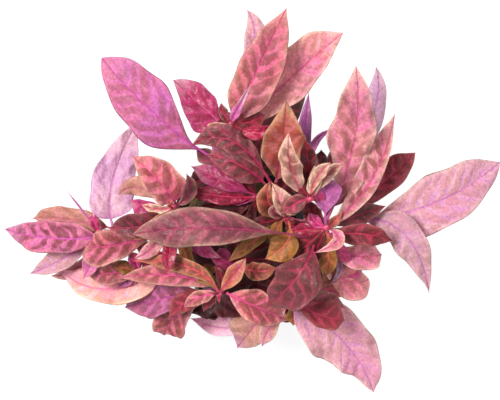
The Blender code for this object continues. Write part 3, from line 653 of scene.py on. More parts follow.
def leaf_material(kind):
    look = LOOKS[kind]
    g = Graph("leaf_" + kind)
    along, across, side = g.parts("blade")
    phase, from_midrib, from_margin = g.parts("veins")
    # Each leaf's seed, blotch strength and brightness; the brightness is its tone with painted shade and
    # painted light
    seed, strength, light = g.parts("tone_and_shade")
    shift = seed * 17
    broad = g.noise(85, 2, 0.5, shift)
    patchy = g.noise(150, 2, 0.5, seed * 9 + 4)
    gilt = g.noise(62, 3, 0.6, seed * 5 + 9)
    flecks = g.noise(620, 3, 0.65, shift)
    middling = g.noise(270, 3, 0.6, shift)
    fine = g.noise(1000, 4, 0.7)
    mottle = middling - 0.5

    # Side veins run where the phase is whole, with a wandering line, thinner towards the margin
    saw = g.math("FRACT", phase + mottle * 0.8 + (broad - 0.5) * 1.9)
    away = g.math("ABSOLUTE", saw - 0.5) * 2
    thin = g.math("ABSOLUTE", across) * 0.22 + g.step(patchy, 0.35, 0.65, 0.22, 0.66)
    vein = g.step(away, thin, 0.98) * g.step(from_margin, 0.1, 1.8)
    vein = vein * g.step(middling, 0.34, 0.52, 0.45, 1.0) * g.step(patchy, 0.62, 0.40, 0.35, 1.0)
    midrib = g.step(from_midrib / ((1 - along) * 0.40 + 0.13), 0.4, 1.7, 1.0, 0.0)
    net = g.node("TexVoronoi", {"Vector": g.place, "Scale": 560}, feature="DISTANCE_TO_EDGE")
    net_line = g.step(net, 0.0, 0.10, 1.0, 0.0)

    # Blotches fill the stretches between veins unevenly, and fade towards the margin and the tip
    blotch = g.step(away, 0.95, 0.25) * 0.62 + mottle * (0.9 + 1.3 * look.blotches)
    blotch = g.step(blotch + (patchy - 0.5) * 2.2 + (fine - 0.5) * 0.5, 0.05, 0.62)
    blotch = blotch * (g.step(from_margin, -0.1, 1.6) * g.step(along, 1.0, 0.74))

    # A pale rim colour for the very margin: partly the margin's own cream, partly a painted edge highlight
    rim = tuple(0.45 * v + 0.55 * w for v, w in zip(look.margin, srgb(0xFAE2D0)))
    colour = g.paint(
        look.field,
        # Lilac patches of painted sheen
        (g.step(broad, 0.44, 0.62) * look.blooms, look.bloom),
        (g.step(gilt, 0.48, 0.66, 0.0, 0.5 * look.edges), look.margin),
        (blotch * (strength * (0.86 * look.blotches)), look.blotch),
        (g.step(mottle * 2.4 + from_margin, 1.1, -0.1) * look.edges, look.margin),
        (g.step(from_margin, 3.6, 0.2, 0.0, 0.34 * look.edges), look.margin),
        # The thin pale rim at the margin: partly its cream colour, partly a painted edge highlight
        (g.step(from_margin, 0.34, 0.03, 0.0, 0.42 * look.edges), rim),
        (g.step(mottle * 0.6 + along, 0.70, 1.0) * look.tips, look.tip),
        (net_line * 0.14, look.vein),
        (vein * look.veins, look.vein),
        (midrib * 0.75, look.midrib),
        (g.step(along, 0.14, -0.02) * 0.75, look.midrib),
        ((1 - side) * 0.6, look.under),
        # Pale flecks: partly cream speckles, partly painted glints
        (g.step(flecks, 0.56, 0.74, 0.0, 0.26 * look.blotches), look.margin),
        (g.step(flecks, 0.44, 0.28, 0.0, 0.38 * look.blotches), look.blotch))
    # Fine grain, times the leaf's brightness, which carries painted shade on deep leaves and painted light on
    # shaded ones
    grain_and_shade = g.step(fine, 0.28, 0.72, 0.84 - 0.12 * look.blotches, 1.12 + 0.14 * look.blotches) * light
    grey = g.node("CombineColor", enumerate((grain_and_shade, grain_and_shade, grain_and_shade)))
    colour = g.mix(1.0, colour, grey, "MULTIPLY")

    # Veins are sunk above and stand out below; the blade is finely crinkled
    sunk = g.math("MAXIMUM", vein, midrib) * (1 - side * 2)
    height = sunk * 0.6 + middling * 0.9 - net_line * 0.25 + fine * 0.35
    normal = g.bump(height, 0.00030, 0.9)
    rough = g.step(middling, 0.3, 0.7, look.roughness - 0.07, look.roughness + 0.09)
    warmer = g.mix(1.0, colour, srgb(0xFFE0EA), "MULTIPLY")
    lit = g.node("BsdfTranslucent", {"Color": warmer, "Normal": normal})
    return g.finish(g.shader_mix(look.through, g.principled(colour, rough, normal, look.gloss), lit))


def stem_material():
    g = Graph("stem_skin")
    along = g.parts("blade")[0]
    stretched = g.node("Mapping", {"Vector": g.place, "Scale": (1, 1, 0.22)})
    streaks, patches = g.noise(700, 3, vector=stretched), g.noise(160)
    colour = g.paint(
        srgb(0x8C1634),
        (g.step(streaks, 0.35, 0.68), srgb(0xCE4A70)),
        (g.step(patches, 0.45, 0.7, 0.0, 0.5), srgb(0x6E1A28)),
        (g.step(along, 0.25, 0.0, 0.0, 0.55), srgb(0x785C3C)))
    normal = g.bump(patches * 0.5 + streaks, 0.00018, 0.8)
    return g.finish(g.principled(colour, g.step(streaks, 0.3, 0.7, 0.32, 0.5), normal))


def wool_material():
    g = Graph("wool_fibre")
    broad, fine, algae = g.noise(110, 3), g.noise(1500, 4, 0.65), g.noise(60)
    colour = g.paint(
        srgb(0x4A3822),
        (g.step(broad, 0.35, 0.68), srgb(0x80663E)),
        (g.step(fine, 0.42, 0.72, 0.0, 0.7), srgb(0xA0885C)),
        (g.step(algae, 0.55, 0.72, 0.0, 0.45), srgb(0x423E1E)))
    normal = g.bump(broad * 0.6 + fine, 0.0006, 1.0)
    return g.finish(g.principled(colour, g.step(fine, 0.3, 0.7, 0.75, 0.95), normal))


def pot_material():
    g = Graph("pot_plastic")
    fine, worn, dust = g.noise(2600, 2, 0.6), g.noise(130, 4, 0.65), g.noise(420, 4, 0.7)
    colour = g.paint(
        srgb(0x060606),
        (g.step(worn, 0.45, 0.75), srgb(0x0D0C0C)),
        (g.step(dust, 0.62, 0.82, 0.0, 0.3), srgb(0x221E1A)))
    normal = g.bump(worn * 0.4 + fine, 0.00012, 0.7)
    return g.finish(g.principled(colour, g.step(worn, 0.3, 0.7, 0.40, 0.62), normal, 0.22))


def floor_material():
    g = Graph("floor_paper")
    colour = g.mix(g.step(g.noise(40, 3), 0.3, 0.7), srgb(0xFAFAFA), srgb(0xFEFEFE))
    glow = g.node("Emission", {"Color": srgb(0xFFFFFF), "Strength": 1.12})
    return g.finish(g.shader_mix(0.75, g.principled(colour, 0.9), glow))


def at(u, v, height):
    """The point at this height in millimetres that shows at (u, v) in the view."""
    across = (u - VIEW_CENTRE[0]) * SLOPE_PER_PIXEL
    up = (VIEW_CENTRE[1] - v) * SLOPE_PER_PIXEL
    ray = VIEW_FORWARD + VIEW_RIGHT * across + VIEW_UP * up
    return VIEW_POINT + ray * ((height * MM - VIEW_POINT[2]) / ray[2])


def unit(vectors):
    return vectors / np.linalg.norm(vectors, axis=-1, keepdims=True)


def smooth(value, low, high):
    t = np.clip((value - low) / (high - low), 0, 1)
    return t * t * (3 - 2 * t)


def through(first, middle, last):
    """A curve and its slope, as functions of 0 to 1, that passes through three points."""
    handle = middle * 2 - (first + last) / 2

    def point(t):
        t = np.asarray(t, float)[..., None]
        return first * (1 - t) ** 2 + handle * (2 * t * (1 - t)) + last * t ** 2

    def slope(t):
        t = np.asarray(t, float)[..., None]
        return unit((handle - first) * (1 - t) + (last - handle) * t)

    return point, slope


def stem_curve(name):
    (x, y), middle, tip = STEMS[name]
    return through(np.array((x * MM, y * MM, WOOL_TOP)), at(*middle), at(*tip))


def stem_radius(along):
    return STEM_RADIUS + (STEM_TIP_RADIUS - STEM_RADIUS) * along


def beside_stem(name, along, towards, reach):
    """The point this far from a stem's middle line, on the side that faces another point."""
    point, slope = stem_curve(name)
    centre, up = point(along), slope(along)
    outward = towards - centre
    return centre + unit(outward - up * outward.dot(up)) * reach


def place_piece(name, mesh, slot, *nodes):
    made = bpy.data.objects.new(name, mesh)
    bpy.context.scene.collection.objects.link(made)
    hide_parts(*nodes)
    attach(made, "root")


class Piece:
    """One mesh put together from closed grids, each with its own corner of the bake map."""

    def __init__(self, name, cells):
        self.name = name
        self.columns = math.ceil(math.sqrt(cells * 2))
        self.rows = math.ceil(cells / self.columns)
        self.used = self.count = 0
        self.points, self.faces, self.maps, self.slots, self.materials = [], [], [], [], []
        self.values = {"blade": [], "veins": [], "tone_and_shade": []}

    def cell(self, u, v):
        """The next cell of the map: 0 to 1 inside it becomes its place on the whole map."""
        row, column = divmod(self.used, self.columns)
        self.used += 1
        u = (column + CELL_MARGIN + u * (1 - 2 * CELL_MARGIN)) / self.columns
        v = (row + CELL_MARGIN + v * (1 - 2 * CELL_MARGIN)) / self.rows
        return np.stack([u, v], -1)

    def add(self, points, faces, maps, values, material):
        """Faces with a map corner for each of their corners."""
        if material not in self.materials:
            self.materials.append(material)
        self.points.append(points)
        self.faces += [[corner + self.count for corner in face] for face in faces]
        self.maps += [corners.reshape(-1, 2) for corners in maps]
        self.slots += [self.materials.index(material)] * len(faces)
        for key, value in values.items():
            self.values[key].append(value)
        self.count += len(points)

    def build(self, slot, *nodes):
        mesh = bpy.data.meshes.new(self.name)
        mesh.from_pydata(np.concatenate(self.points).tolist(), [], self.faces)
        mesh.shade_smooth()
        layer = mesh.uv_layers.new(name="OFBake")
        layer.data.foreach_set("uv", np.concatenate(self.maps).astype(np.float32).ravel())
        for key, value in self.values.items():
            attribute = mesh.attributes.new(key, "FLOAT_VECTOR", "POINT")
            attribute.data.foreach_set("vector", np.concatenate(value).astype(np.float32).ravel())
        for material in self.materials:
            mesh.materials.append(material)
        mesh.polygons.foreach_set("material_index", self.slots)
        mesh.update()
        place_piece(self.name, mesh, slot, *nodes)


def half_width(share, widest, width, form, phases):
    """Half a blade's width: narrow at its base, drawn to a point at its tip, with an uneven margin."""
    bend = math.log(0.5) / math.log(widest)
    sine = np.clip(np.sin(np.pi * share ** bend), 0, 1)
    uneven = 0.045 * np.sin(8 * share + phases[0]) + 0.028 * np.sin(19 * share + phases[1])
    power = 0.72 + form.taper * share ** 3 + form.neck * (1 - share) ** 4
    return width * sine ** power * (1 + form.ragged * uneven)


def add_leaf(piece, leaf, base, rng, rows, half_columns, form):
    """A closed blade on a round petiole, with the same middle line and widths as the part's solid."""
    middle, tip = (p if isinstance(p, np.ndarray) else at(*p) for p in (leaf.middle, leaf.tip))
    point, slope = through(base, middle, tip)
    petiole = form.petiole or leaf.petiole
    share = np.linspace(0, 1, rows)
    share = share - 0.035 * np.sin(2 * np.pi * share)
    along = np.concatenate([
        np.linspace(0, petiole, PETIOLE_ROWS, endpoint=False), petiole + (1 - petiole) * share])
    blade = (along - petiole) / (1 - petiole)
    in_blade = np.clip(blade, 0, 1)
    n = len(along)
    centre, forward = point(along), slope(along)
    side = unit(np.cross(forward, VIEW_POINT - centre))
    upper = unit(np.cross(side, forward))
    length = np.linalg.norm(np.diff(centre, axis=0), axis=1).sum() * (1 - petiole) / MM

    # Across: -1 at the left margin to 1 at the right one
    even = np.linspace(-1, 1, 2 * half_columns + 1)
    across = np.sin(even * np.pi / 2) * 0.35 + even * 0.65
    columns = len(across)
    t = np.broadcast_to(across, (n, columns))
    out = np.abs(t)
    half = np.where(t < 0, 0, 1)
    phases = rng.uniform(0, 2 * np.pi, 12)
    widest = form.widest or leaf.widest
    from_stem = along / max(petiole, 0.02)
    stalk = PETIOLE_RADIUS * (1 - 0.35 * np.clip(from_stem, 0, 1)) * (1 - 0.8 * in_blade)
    width = np.where(t < 0, *(
        np.maximum(half_width(in_blade, top, size * MM, form, ends) * (blade > 0), stalk)[:, None]
        for top, size, ends in (
            (widest + form.skew, leaf.left * form.left, phases[8:10]),
            (widest - form.skew, leaf.right * form.right, phases[10:12]))))
    lateral = out * width
    lateral_mm = lateral / MM
    share = np.broadcast_to(in_blade[:, None], t.shape)
    flat = smooth(from_stem, 0.55, 1.25)[:, None]

    # Waves, curl, quilting and crinkles, in mm
    scale = min(1.0, max(leaf.left, leaf.right) / GROWN_HALF_WIDTH)
    belly = scale * np.sin(np.pi * share) ** 0.6
    turns = form.waves + rng.uniform(-0.4, 0.4, 2)
    lift = form.wave * np.sin(2 * np.pi * turns[half] * share + phases[half]) * out ** 1.8 * belly
    lift -= form.curl * out ** 2.2 * belly
    ripple = 2 * np.pi * (6.3 + form.waves) * share + phases[6] + 2 * np.sign(t)
    lift += RIPPLE * np.sin(ripple) * out ** 4 * belly
    phase = share * length - VEIN_SLANT * lateral_mm - VEIN_BEND * lateral_mm ** 2
    phase = phase / (VEIN_SPACING * (0.55 + 0.45 * scale)) + np.where(t < 0, 0.0, 0.38) + phases[2]
    lift += QUILTING * (0.5 - 0.5 * np.cos(2 * np.pi * phase)) * np.sin(np.pi * out) * belly
    for k in range(3):
        fx, fy = rng.uniform(0.35, 0.9, 2) * (1 + 0.7 * k)
        swell = np.sin(fx * share * length / 3 + phases[3 + k])
        swell = swell * np.cos(fy * lateral_mm * np.sign(t) + phases[5])
        lift += form.crinkle * swell * belly * out ** 0.5 / (1 + 0.6 * k)
    lift -= form.droop * scale * smooth(share, 0.72, 1.0) ** 1.5

    twist = (form.twist + rng.normal(0, TWIST_SPREAD)) * share ** 1.4
    angle = np.radians(leaf.fold + MORE_FOLD + np.sign(t) * (leaf.roll + twist)) * flat
    sideways = np.sign(t) * lateral * np.cos(angle)
    risen = lateral * np.sin(angle) + lift * MM * flat
    body = centre[:, None] + side[:, None] * sideways[..., None] + upper[:, None] * risen[..., None]

    # Thin at the margins; a rib runs along the lower side and a groove along the upper one
    thick = BLADE_THICKNESS * np.sqrt(np.clip(1 - out ** 6, 0, 1)) * flat
    thick = thick + PETIOLE_RADIUS * np.sqrt(np.clip(1 - t ** 2, 0, 1)) * 0.85 * (1 - flat)
    rib = np.exp(-(lateral_mm / (0.55 * scale + 0.12)) ** 2) * (1 - 0.75 * share) * flat * scale
    above = body + upper[:, None] * (thick - GROOVE_DEPTH * rib)[..., None]
    under = body - upper[:, None] * (thick + RIB_DEPTH * rib)[..., None]
    above[:, [0, -1]] = (above[:, [0, -1]] + under[:, [0, -1]]) / 2

    # Each row is a ring: the upper side from left to right, then the lower side back
    def ring_of(values, lower):
        return np.concatenate([values, lower[:, -2:0:-1]], axis=1).reshape(-1, 3)

    margin = np.minimum((1 - out) * width / MM, (1 - share) * length * 0.6) / (0.4 + 0.6 * scale)
    blades = np.stack([np.where(blade[:, None] < 0, blade[:, None] * 0.3, share), t, np.ones_like(t)], -1)
    veins = np.stack([phase, lateral_mm, margin], -1)
    ring = 2 * columns - 2
    seed, blotch = rng.uniform(), form.blotch * rng.uniform(0.85, 1.15)
    # The leaf's brightness: painted shade and painted light from the tables, a little uneven from leaf to
    # leaf
    light = form.light * leaf.light * rng.uniform(0.94, 1.06)
    values = {
        "blade": ring_of(blades, blades * (1, 1, 0)),
        "veins": ring_of(veins, veins),
        "tone_and_shade": np.tile((seed, blotch, light), (n * ring, 1)),
    }

    # Faces: the upper side, the lower side, and both ends
    def low(row, column):
        return row * ring + (ring - column) % ring

    i, j = np.indices((n - 1, columns - 1)).reshape(2, -1)
    top = i * ring + j
    faces = np.concatenate([
        np.stack([top, top + 1, top + ring + 1, top + ring], 1),
        np.stack([low(i, j + 1), low(i, j), low(i + 1, j), low(i + 1, j + 1)], 1),
    ]).tolist()
    u = (across + 1) / 2
    v = np.concatenate([np.linspace(0, 0.08, PETIOLE_ROWS, endpoint=False), np.linspace(0.08, 1, rows)])
    v = np.stack([v[i], v[i], v[i + 1], v[i + 1]], 1)
    maps = [piece.cell(np.stack([u[a], u[b], u[b], u[a]], 1), v) for a, b in ((j, j + 1), (j + 1, j))]
    b = np.arange(columns - 1)
    for row, turn, corner in ((0, -1, maps[0][0, 0]), (n - 1, 1, maps[0][-1, 0])):
        strip = np.stack([row * ring + b, row * ring + b + 1, low(row, b + 1), low(row, b)], 1)
        for face in strip[:, ::turn].tolist():
            faces.append(list(dict.fromkeys(face)))
            maps.append(np.tile(corner, (len(faces[-1]), 1)))
    piece.add(ring_of(above, under), faces, maps, values, leaf_materials[form.look or leaf.colour])


def add_tube(piece, centres, radii, first, material, sides):
    """A closed tube round a line of points, with attributes for a surface with no veins."""
    count = len(centres)
    turns = np.linspace(0, 2 * np.pi, sides, endpoint=False)
    rings = []
    for centre, up, radius in zip(centres, unit(np.gradient(centres, axis=0)), radii):
        first = unit(first - up * first.dot(up))
        outward = np.outer(np.cos(turns), first) + np.outer(np.sin(turns), np.cross(up, first))
        rings.append(centre + outward * radius[..., None])
    i, j = np.indices((count - 1, sides)).reshape(2, -1)
    k = (j + 1) % sides
    faces = np.stack([i * sides + j, i * sides + k, (i + 1) * sides + k, (i + 1) * sides + j], 1).tolist()
    u, v = np.stack([j, j + 1, j + 1, j], 1) / sides, np.stack([i, i, i + 1, i + 1], 1) / (count - 1)
    maps = piece.cell(u, v)
    ends = [list(range(sides))[::-1], list(range((count - 1) * sides, count * sides))]
    corners = [np.tile(maps[i][0], (sides, 1)) for i in (0, -1)]
    share = np.repeat(np.linspace(0, 1, count), sides)
    blank = np.zeros_like(share)
    values = {
        "blade": np.stack([share, blank, blank], -1),
        "veins": np.stack([blank, blank + 5, blank + 5], -1),
        "tone_and_shade": np.stack([blank + 0.5, blank + 1, blank + 1], -1),
    }
    piece.add(np.concatenate(rings), faces + ends, [maps, *corners], values, material)


def build_leaf(name, stem, along, leaf, number):
    rng = np.random.default_rng(SEED * 1000 + number)
    base = beside_stem(stem, along, at(*leaf.middle), stem_radius(along) + GAP + PETIOLE_RADIUS)
    piece = Piece("leaf_of_" + name, 2)
    add_leaf(piece, leaf, base, rng, 64, 12, DETAILS[name])
    piece.build(leaf.colour, name)


def build_shoot(name, number):
    """A knob of folded leaflets with the young leaves that open from it."""
    rng = np.random.default_rng(SEED * 2000 + number)
    along, colour, rows = SHOOTS[name]
    stem = name.removesuffix("_side")
    if along == 1:
        node = name + "_growing_tip"
        point, slope = stem_curve(stem)
        up = slope(1.0)
        centre = point(1.0) + up * (GAP + BUD_RADIUS)
    else:
        node = name + "_shoot"
        middles = sum(at(*middle) for middle, *_ in rows) / len(rows)
        centre = beside_stem(stem, along, middles, stem_radius(along) + GAP + BUD_RADIUS)
        up = unit(middles - centre + np.array((0, 0, 4 * MM)))
    leaves = [Leaf(*row) for row in rows + SMALL.get(name, ())]
    piece = Piece("shoot_of_" + node, 2 * (len(leaves) + BUD_LEAFLETS) + 1)
    for i, leaf in enumerate(leaves, 1):
        fineness = (44, 9) if max(leaf.left, leaf.right) > 3 else (32, 7)
        add_leaf(piece, leaf, centre, rng, *fineness, DETAILS.get(f"{name}_{i}", YOUNG))
    stretch = np.linspace(-1, 1, 13)
    ball = BUD_RADIUS * 0.82 * np.sqrt(np.clip(1 - stretch ** 2, 0.004, 1))
    add_tube(piece, centre + np.outer(stretch * BUD_RADIUS, up), ball, VIEW_RIGHT, stem_skin, 14)
    around = unit(np.cross(up, VIEW_RIGHT))
    beside = np.cross(around, up)
    for k in range(BUD_LEAFLETS):
        turn = 2.4 * k + rng.uniform(0, 0.6)
        out = around * math.cos(turn) + beside * math.sin(turn)
        reach = rng.uniform(1.6, 2.6) * MM
        middle = centre + up * reach * 0.7 + out * reach * 0.45
        tip = centre + up * reach * 1.25 + out * reach * 0.95
        width = rng.uniform(0.6, 0.9)
        add_leaf(piece, Leaf(middle, tip, width, width, "wine", 24, 0.5, 0.04), centre, rng, 16, 4, YOUNG)
    piece.build(colour, node)


def build_stem(name, number):
    """Straight down into the wool and along its curve above it, swollen where leaves grow."""
    rng = np.random.default_rng(SEED * 3000 + number)
    point = stem_curve(name)[0]
    share = np.linspace(0, 1, 61)
    above = point(share)
    above[:, 2] += GAP * (1 - np.clip(share * 3, 0, 1))
    below = point(0.0) + np.outer(np.linspace(-STEM_DEPTH, -0.6 * MM, 14), (0, 0, 1))
    centres = np.concatenate([below, above])
    ease = np.clip((np.arange(len(centres)) - 12) / 8, 0, 1)
    along = np.concatenate([np.zeros(14), share])
    radii = stem_radius(along) * (1 - 0.05 * (1 - ease))
    for joint in [row[0] for row in LEAVES[name]] + LOW_NODES:
        radii = radii + NODE_SWELLING * np.exp(-((along - joint) / 0.025) ** 2) * (along > 0.04)
    sides = 20
    turns = np.linspace(0, 2 * np.pi, sides, endpoint=False)
    ribs = 1 + 0.035 * np.cos(5 * turns + rng.uniform(0, 6)) + 0.02 * np.cos(9 * turns + rng.uniform(0, 6))
    uneven = 1 + 0.02 * np.sin(along * 31 + rng.uniform(0, 6))
    piece = Piece("stem_of_" + name, 1)
    add_tube(piece, centres, radii[:, None] * ribs * uneven[:, None] * 0.97, VIEW_RIGHT, stem_skin, sides)
    piece.build("stem", name + "_stem")


def pot_radius(height):
    return POT_BASE_RADIUS + (POT_TOP_RADIUS - POT_BASE_RADIUS) * height / POT_HEIGHT


def skin(shape, rows):
    """Faces from each closed row of points to the next, and one at each end."""
    rows = [[shape.verts.new(place) for place in row] for row in rows]
    for low, high in zip(rows, rows[1:]):
        for i in range(len(low)):
            k = (i + 1) % len(low)
            shape.faces.new((low[i], low[k], high[k], high[i]))
    shape.faces.new(rows[0][::-1])
    shape.faces.new(rows[-1])


def circle(radius, z, sides, x=0.0, y=0.0):
    turns = (2 * math.pi * i / sides for i in range(sides))
    return [(x + radius * math.cos(turn), y + radius * math.sin(turn), z) for turn in turns]


def mesh_of(shape, name):
    bmesh.ops.recalc_face_normals(shape, faces=shape.faces)
    mesh = bpy.data.meshes.new(name)
    shape.to_mesh(mesh)
    shape.free()
    return mesh


def cut(mesh, cutter, name, material, bevel=0.0):
    """The mesh less the cutter, with its sharp edges rounded when a bevel is given."""
    target = bpy.data.objects.new(name + "_raw", mesh)
    tool = bpy.data.objects.new(name + "_tool", cutter)
    for used in (target, tool):
        bpy.context.scene.collection.objects.link(used)
    change = target.modifiers.new("cut", "BOOLEAN")
    change.operation, change.solver = "DIFFERENCE", "EXACT"
    change.object = tool
    if bevel:
        rounding = target.modifiers.new("round", "BEVEL")
        rounding.width, rounding.segments = bevel, 2
        rounding.limit_method, rounding.angle_limit = "ANGLE", math.radians(40)
        rounding.use_clamp_overlap = True
    made = bpy.data.meshes.new_from_object(target.evaluated_get(bpy.context.evaluated_depsgraph_get()))
    made.name = name
    for used in (target, tool):
        bpy.data.objects.remove(used)
    made.shade_smooth()
    made.set_sharp_from_angle(angle=math.radians(42))
    made.materials.clear()
    made.materials.append(material)
    return made


def add_slot(shape, centre, along, across, width, height):
    """A bar with rounded corners, seen along its length, that cuts through the wall."""
    outline = []
    for sx, sz, start in ((1, 1, 0), (-1, 1, 90), (-1, -1, 180), (1, -1, 270)):
        for step in range(6):
            turn = math.radians(start + 90 * step / 5)
            x = sx * (width / 2 - SLOT_CORNER) + SLOT_CORNER * math.cos(turn)
            z = sz * (height / 2 - SLOT_CORNER) + SLOT_CORNER * math.sin(turn)
            outline.append((x, z))
    up = Vector((0, 0, 1)) if abs(along.z) < 0.5 else across.cross(along)
    skin(shape, [
        [centre + along * reach + across * x + up * z for x, z in outline]
        for reach in (-SLOT_CUT, SLOT_CUT)])


def build_pot():
    lip, r = POT_HEIGHT - POT_LIP_THICKNESS, POT_ROUNDING
    mouth = POT_TOP_RADIUS - POT_WALL
    inside = pot_radius(POT_BASE_THICKNESS) - POT_WALL
    profile = [
        (POT_BASE_RADIUS - 1.2 * MM, 0), (POT_BASE_RADIUS - 0.5 * MM, 0.06 * MM),
        (POT_BASE_RADIUS - 0.12 * MM, 0.4 * MM),
        *((pot_radius(h * MM), h * MM) for h in (1.1, 12, 22, 32)),
        (pot_radius(lip - r), lip - r), (pot_radius(lip) + r * 0.4, lip - r * 0.15),
        (POT_LIP_RADIUS - r, lip), (POT_LIP_RADIUS - 0.12 * r, lip + 0.3 * r), (POT_LIP_RADIUS, lip + r),
        (POT_LIP_RADIUS, POT_HEIGHT - r), (POT_LIP_RADIUS - 0.3 * r, POT_HEIGHT - 0.3 * r),
        (POT_LIP_RADIUS - r, POT_HEIGHT), (mouth + r, POT_HEIGHT), (mouth + 0.2 * r, POT_HEIGHT - 0.3 * r),
        (mouth - 0.1 * r, POT_HEIGHT - r),
        *((pot_radius(h * MM) - POT_WALL, h * MM) for h in (30, 15)),
        (inside, POT_BASE_THICKNESS + r), (inside - 0.3 * r, POT_BASE_THICKNESS + 0.2 * r),
        (inside - 1.2 * r, POT_BASE_THICKNESS),
    ]
    cup, slots = bmesh.new(), bmesh.new()
    skin(cup, [circle(radius, z, 120) for radius, z in profile])

    def directions(turn):
        return Vector((math.cos(turn), math.sin(turn), 0)), Vector((-math.sin(turn), math.cos(turn), 0))

    for i in range(SLOTS_ROUND):
        outward, sideways = directions(2 * math.pi * (i + 0.5) / SLOTS_ROUND)
        for low, high in SLOT_ROWS:
            middle = (low + high) / 2
            centre = outward * (pot_radius(middle) - POT_WALL / 2) + Vector((0, 0, middle))
            add_slot(slots, centre, outward, sideways, SLOT_WIDTH, high - low)
    for i in range(BASE_SLOTS):
        outward, sideways = directions(2 * math.pi * i / BASE_SLOTS)
        centre = outward * ((BASE_SLOT_FROM + BASE_SLOT_TO) / 2)
        add_slot(slots, centre, Vector((0, 0, 1)), sideways, BASE_SLOT_WIDTH, BASE_SLOT_TO - BASE_SLOT_FROM)
    mesh = cut(mesh_of(cup, "cup"), mesh_of(slots, "slots"), "slotted_cup", pot_material(), SLOT_BEVEL)
    place_piece("slotted_cup", mesh, "pot", "net_pot")


def build_wool():
    """A ragged plug with a hole for each stem, and loose fibres on it."""
    rng = np.random.default_rng(SEED)
    low = POT_BASE_THICKNESS + GAP
    inside = POT_WALL + GAP
    profile = [(radius, low) for radius in np.linspace(0.4 * MM, pot_radius(low) - inside - 0.4 * MM, 8)]
    profile += [(pot_radius(z) - inside, z) for z in np.linspace(low + 0.3 * MM, WOOL_TOP - 0.5 * MM, 46)]
    edge = pot_radius(WOOL_TOP) - inside
    profile += [(radius, WOOL_TOP) for radius in np.linspace(edge - 0.5 * MM, 0.4 * MM, 30)]
    plug, holes = bmesh.new(), bmesh.new()
    skin(plug, [circle(radius, z, 180) for radius, z in profile])
    mesh = mesh_of(plug, "wool_raw")
    places = np.empty(len(mesh.vertices) * 3)
    mesh.vertices.foreach_get("co", places)
    places = places.reshape(-1, 3)
    lumps = np.zeros(len(places))
    for _ in range(26):
        direction = unit(rng.normal(size=3))
        pitch = rng.uniform(1.2, 5.5) * MM
        lumps += np.sin(places @ direction * 2 * np.pi / pitch + rng.uniform(0, 6)) * (pitch / MM) ** 0.4
    lumps = lumps / np.abs(lumps).max()
    radial = places * (1, 1, 0)
    level = np.linalg.norm(radial, axis=1, keepdims=True)
    wall = pot_radius(places[:, 2]) - inside
    side = smooth(level[:, 0], 0.93 * wall, wall)
    on_top = (places[:, 2] > WOOL_TOP - 0.6 * MM) * 1.0
    places += radial / np.maximum(level, 1e-9) * (np.minimum(lumps, 0.15) * LUMPS_ON_SIDE * side)[:, None]
    places[:, 2] += on_top * (lumps * LUMPS_ON_TOP - side * WOOL_EDGE_DROP)
    mesh.vertices.foreach_set("co", places.ravel())
    radius = STEM_RADIUS + STEM_HOLE_CLEARANCE
    for (x, y), _, _ in STEMS.values():
        levels = ((-17, 1.0), (-1.2, 1.0), (2, 1.25))
        skin(holes, [circle(radius * wider, WOOL_TOP + z * MM, 20, x * MM, y * MM) for z, wider in levels])
    material = wool_material()
    mesh = cut(mesh, mesh_of(holes, "wool_holes"), "wool_plug", material)
    place_piece("wool_plug", mesh, "wool", "rock_wool")

    # Fibres lie loosely curled on the top, clear of the stems, and along the sides behind the slots
    fibres = Piece("wool_fibres", 1)
    fibres.columns, fibres.rows = FIBRE_MAP
    share = np.linspace(-0.5, 0.5, 7)

    def add_fibre(x, y, z, thickest):
        radii = np.full(7, rng.uniform(0.05, thickest) * MM)
        add_tube(fibres, np.column_stack([x, y, z]), radii, np.array((0, 0, 1.0)), material, 5)

    stems = np.array([place for place, _, _ in STEMS.values()]) * MM
    top_radius = edge - FIBRE_MARGIN
    made = 0
    while made < TOP_FIBRES:
        turn, reach = rng.uniform(0, 2 * np.pi), top_radius * math.sqrt(rng.uniform())
        middle = np.array((math.cos(turn) * reach, math.sin(turn) * reach))
        if np.linalg.norm(stems - middle, axis=1).min() < 2.2 * MM:
            continue
        heading = rng.uniform(0, 2 * np.pi)
        length = rng.uniform(2.0, 5.5) * MM
        angle = heading + share * rng.normal(0, 1.1)
        line = middle + np.stack([np.cos(angle), np.sin(angle)], 1) * (share * length)[:, None]
        if np.linalg.norm(line, axis=1).max() > top_radius + 0.4 * MM:
            continue
        if min(np.linalg.norm(stems - p, axis=1).min() for p in line) < 1.9 * MM:
            continue
        z = WOOL_TOP + rng.uniform(0.0, 0.5) * MM
        z = z + np.sin(share * rng.uniform(2, 6) + rng.uniform(0, 6)) * 0.35 * MM
        add_fibre(*line.T, z, 0.10)
        made += 1
    for _ in range(SIDE_FIBRES):
        turn, z = rng.uniform(0, 2 * np.pi), rng.uniform(4 * MM, 41 * MM)
        length = rng.uniform(1.5, 4.5) * MM
        heading = rng.uniform(0, 2 * np.pi)
        angle = heading + share * rng.normal(0, 1.2)
        height = np.clip(z + share * length * np.sin(angle), 2.6 * MM, 42 * MM)
        radius = pot_radius(height) - inside + rng.uniform(-0.12, 0.02) * MM
        turns = turn + share * length * np.cos(angle) / radius
        add_fibre(radius * np.cos(turns), radius * np.sin(turns), height, 0.09)
    fibres.build("wool")


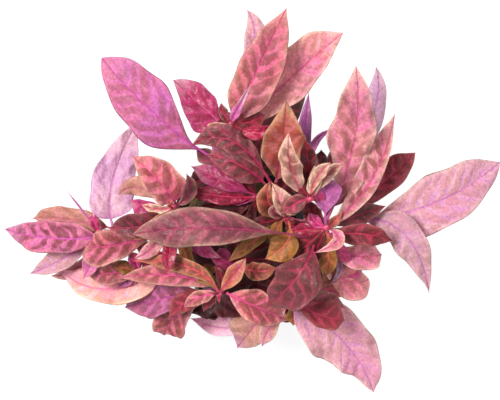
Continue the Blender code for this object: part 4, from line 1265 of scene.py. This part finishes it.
def add_light(name, width, height, place, power, colour):
    """A soft light that faces the middle of the plant."""
    light = bpy.data.lights.new(name, "AREA")
    light.shape = "RECTANGLE"
    light.size, light.size_y = width, height
    light.energy, light.color = power, colour
    made = bpy.data.objects.new(name, light)
    made.location = place
    made.rotation_euler = (Vector((0, 0, 0.07)) - Vector(place)).to_track_quat("-Z", "Y").to_euler()
    bpy.context.scene.collection.objects.link(made)


def build_stage():
    """The paper floor and walls, the light and the camera."""
    paper = bpy.data.meshes.new("floor")
    corners = [(-ROOM, -ROOM), (ROOM, -ROOM), (ROOM, ROOM), (-ROOM, ROOM)]
    walls = [(i, (i + 1) % 4, (i + 1) % 4 + 4, i + 4) for i in range(4)]
    paper.from_pydata([(x, y, z) for z in (0, ROOM) for x, y in corners], [], [(0, 1, 2, 3)] + walls)
    paper.materials.append(floor_material())
    floor = bpy.data.objects.new("floor", paper)
    bpy.context.scene.collection.objects.link(floor)
    floor.visible_diffuse = False

    world = bpy.data.worlds.new("room")
    bpy.context.scene.world = world
    world.use_nodes = True
    back = world.node_tree.nodes["Background"]
    back.inputs["Color"].default_value = (1, 1, 1, 1)
    back.inputs["Strength"].default_value = 0.36
    add_light("key", 0.30, 0.30, (-0.38, -0.22, 0.72), 9.6, (1.0, 0.99, 0.98))
    add_light("fill", 0.6, 0.6, (0.5, -0.3, 0.6), 2.2, (0.97, 0.98, 1.0))
    add_light("rim", 0.5, 0.3, (0.1, 0.6, 0.55), 1.5, (1.0, 1.0, 1.0))

    lens = bpy.data.cameras.new("camera")
    lens.lens, lens.sensor_width = LENS, SENSOR
    lens.clip_start = 0.01
    camera = bpy.data.objects.new("camera", lens)
    camera.location = Vector(VIEW_POINT)
    camera.rotation_euler = Vector(VIEW_FORWARD).to_track_quat("-Z", "Y").to_euler()
    bpy.context.scene.collection.objects.link(camera)
    bpy.context.scene.camera = camera
    bpy.context.scene.view_settings.view_transform = "Standard"


leaf_materials = {kind: leaf_material(kind) for kind in LOOKS}
stem_skin = stem_material()

number = 0
for stem, leaves in LEAVES.items():
    number += 1
    build_stem(stem, number)
    for i, (along, *row) in enumerate(leaves, 1):
        number += 1
        build_leaf(f"{stem}_leaf_{i}", stem, along, Leaf(*row), number)
for name in SHOOTS:
    number += 1
    build_shoot(name, number)
build_pot()
build_wool()
build_stage()

bpy.context.view_layer.update()
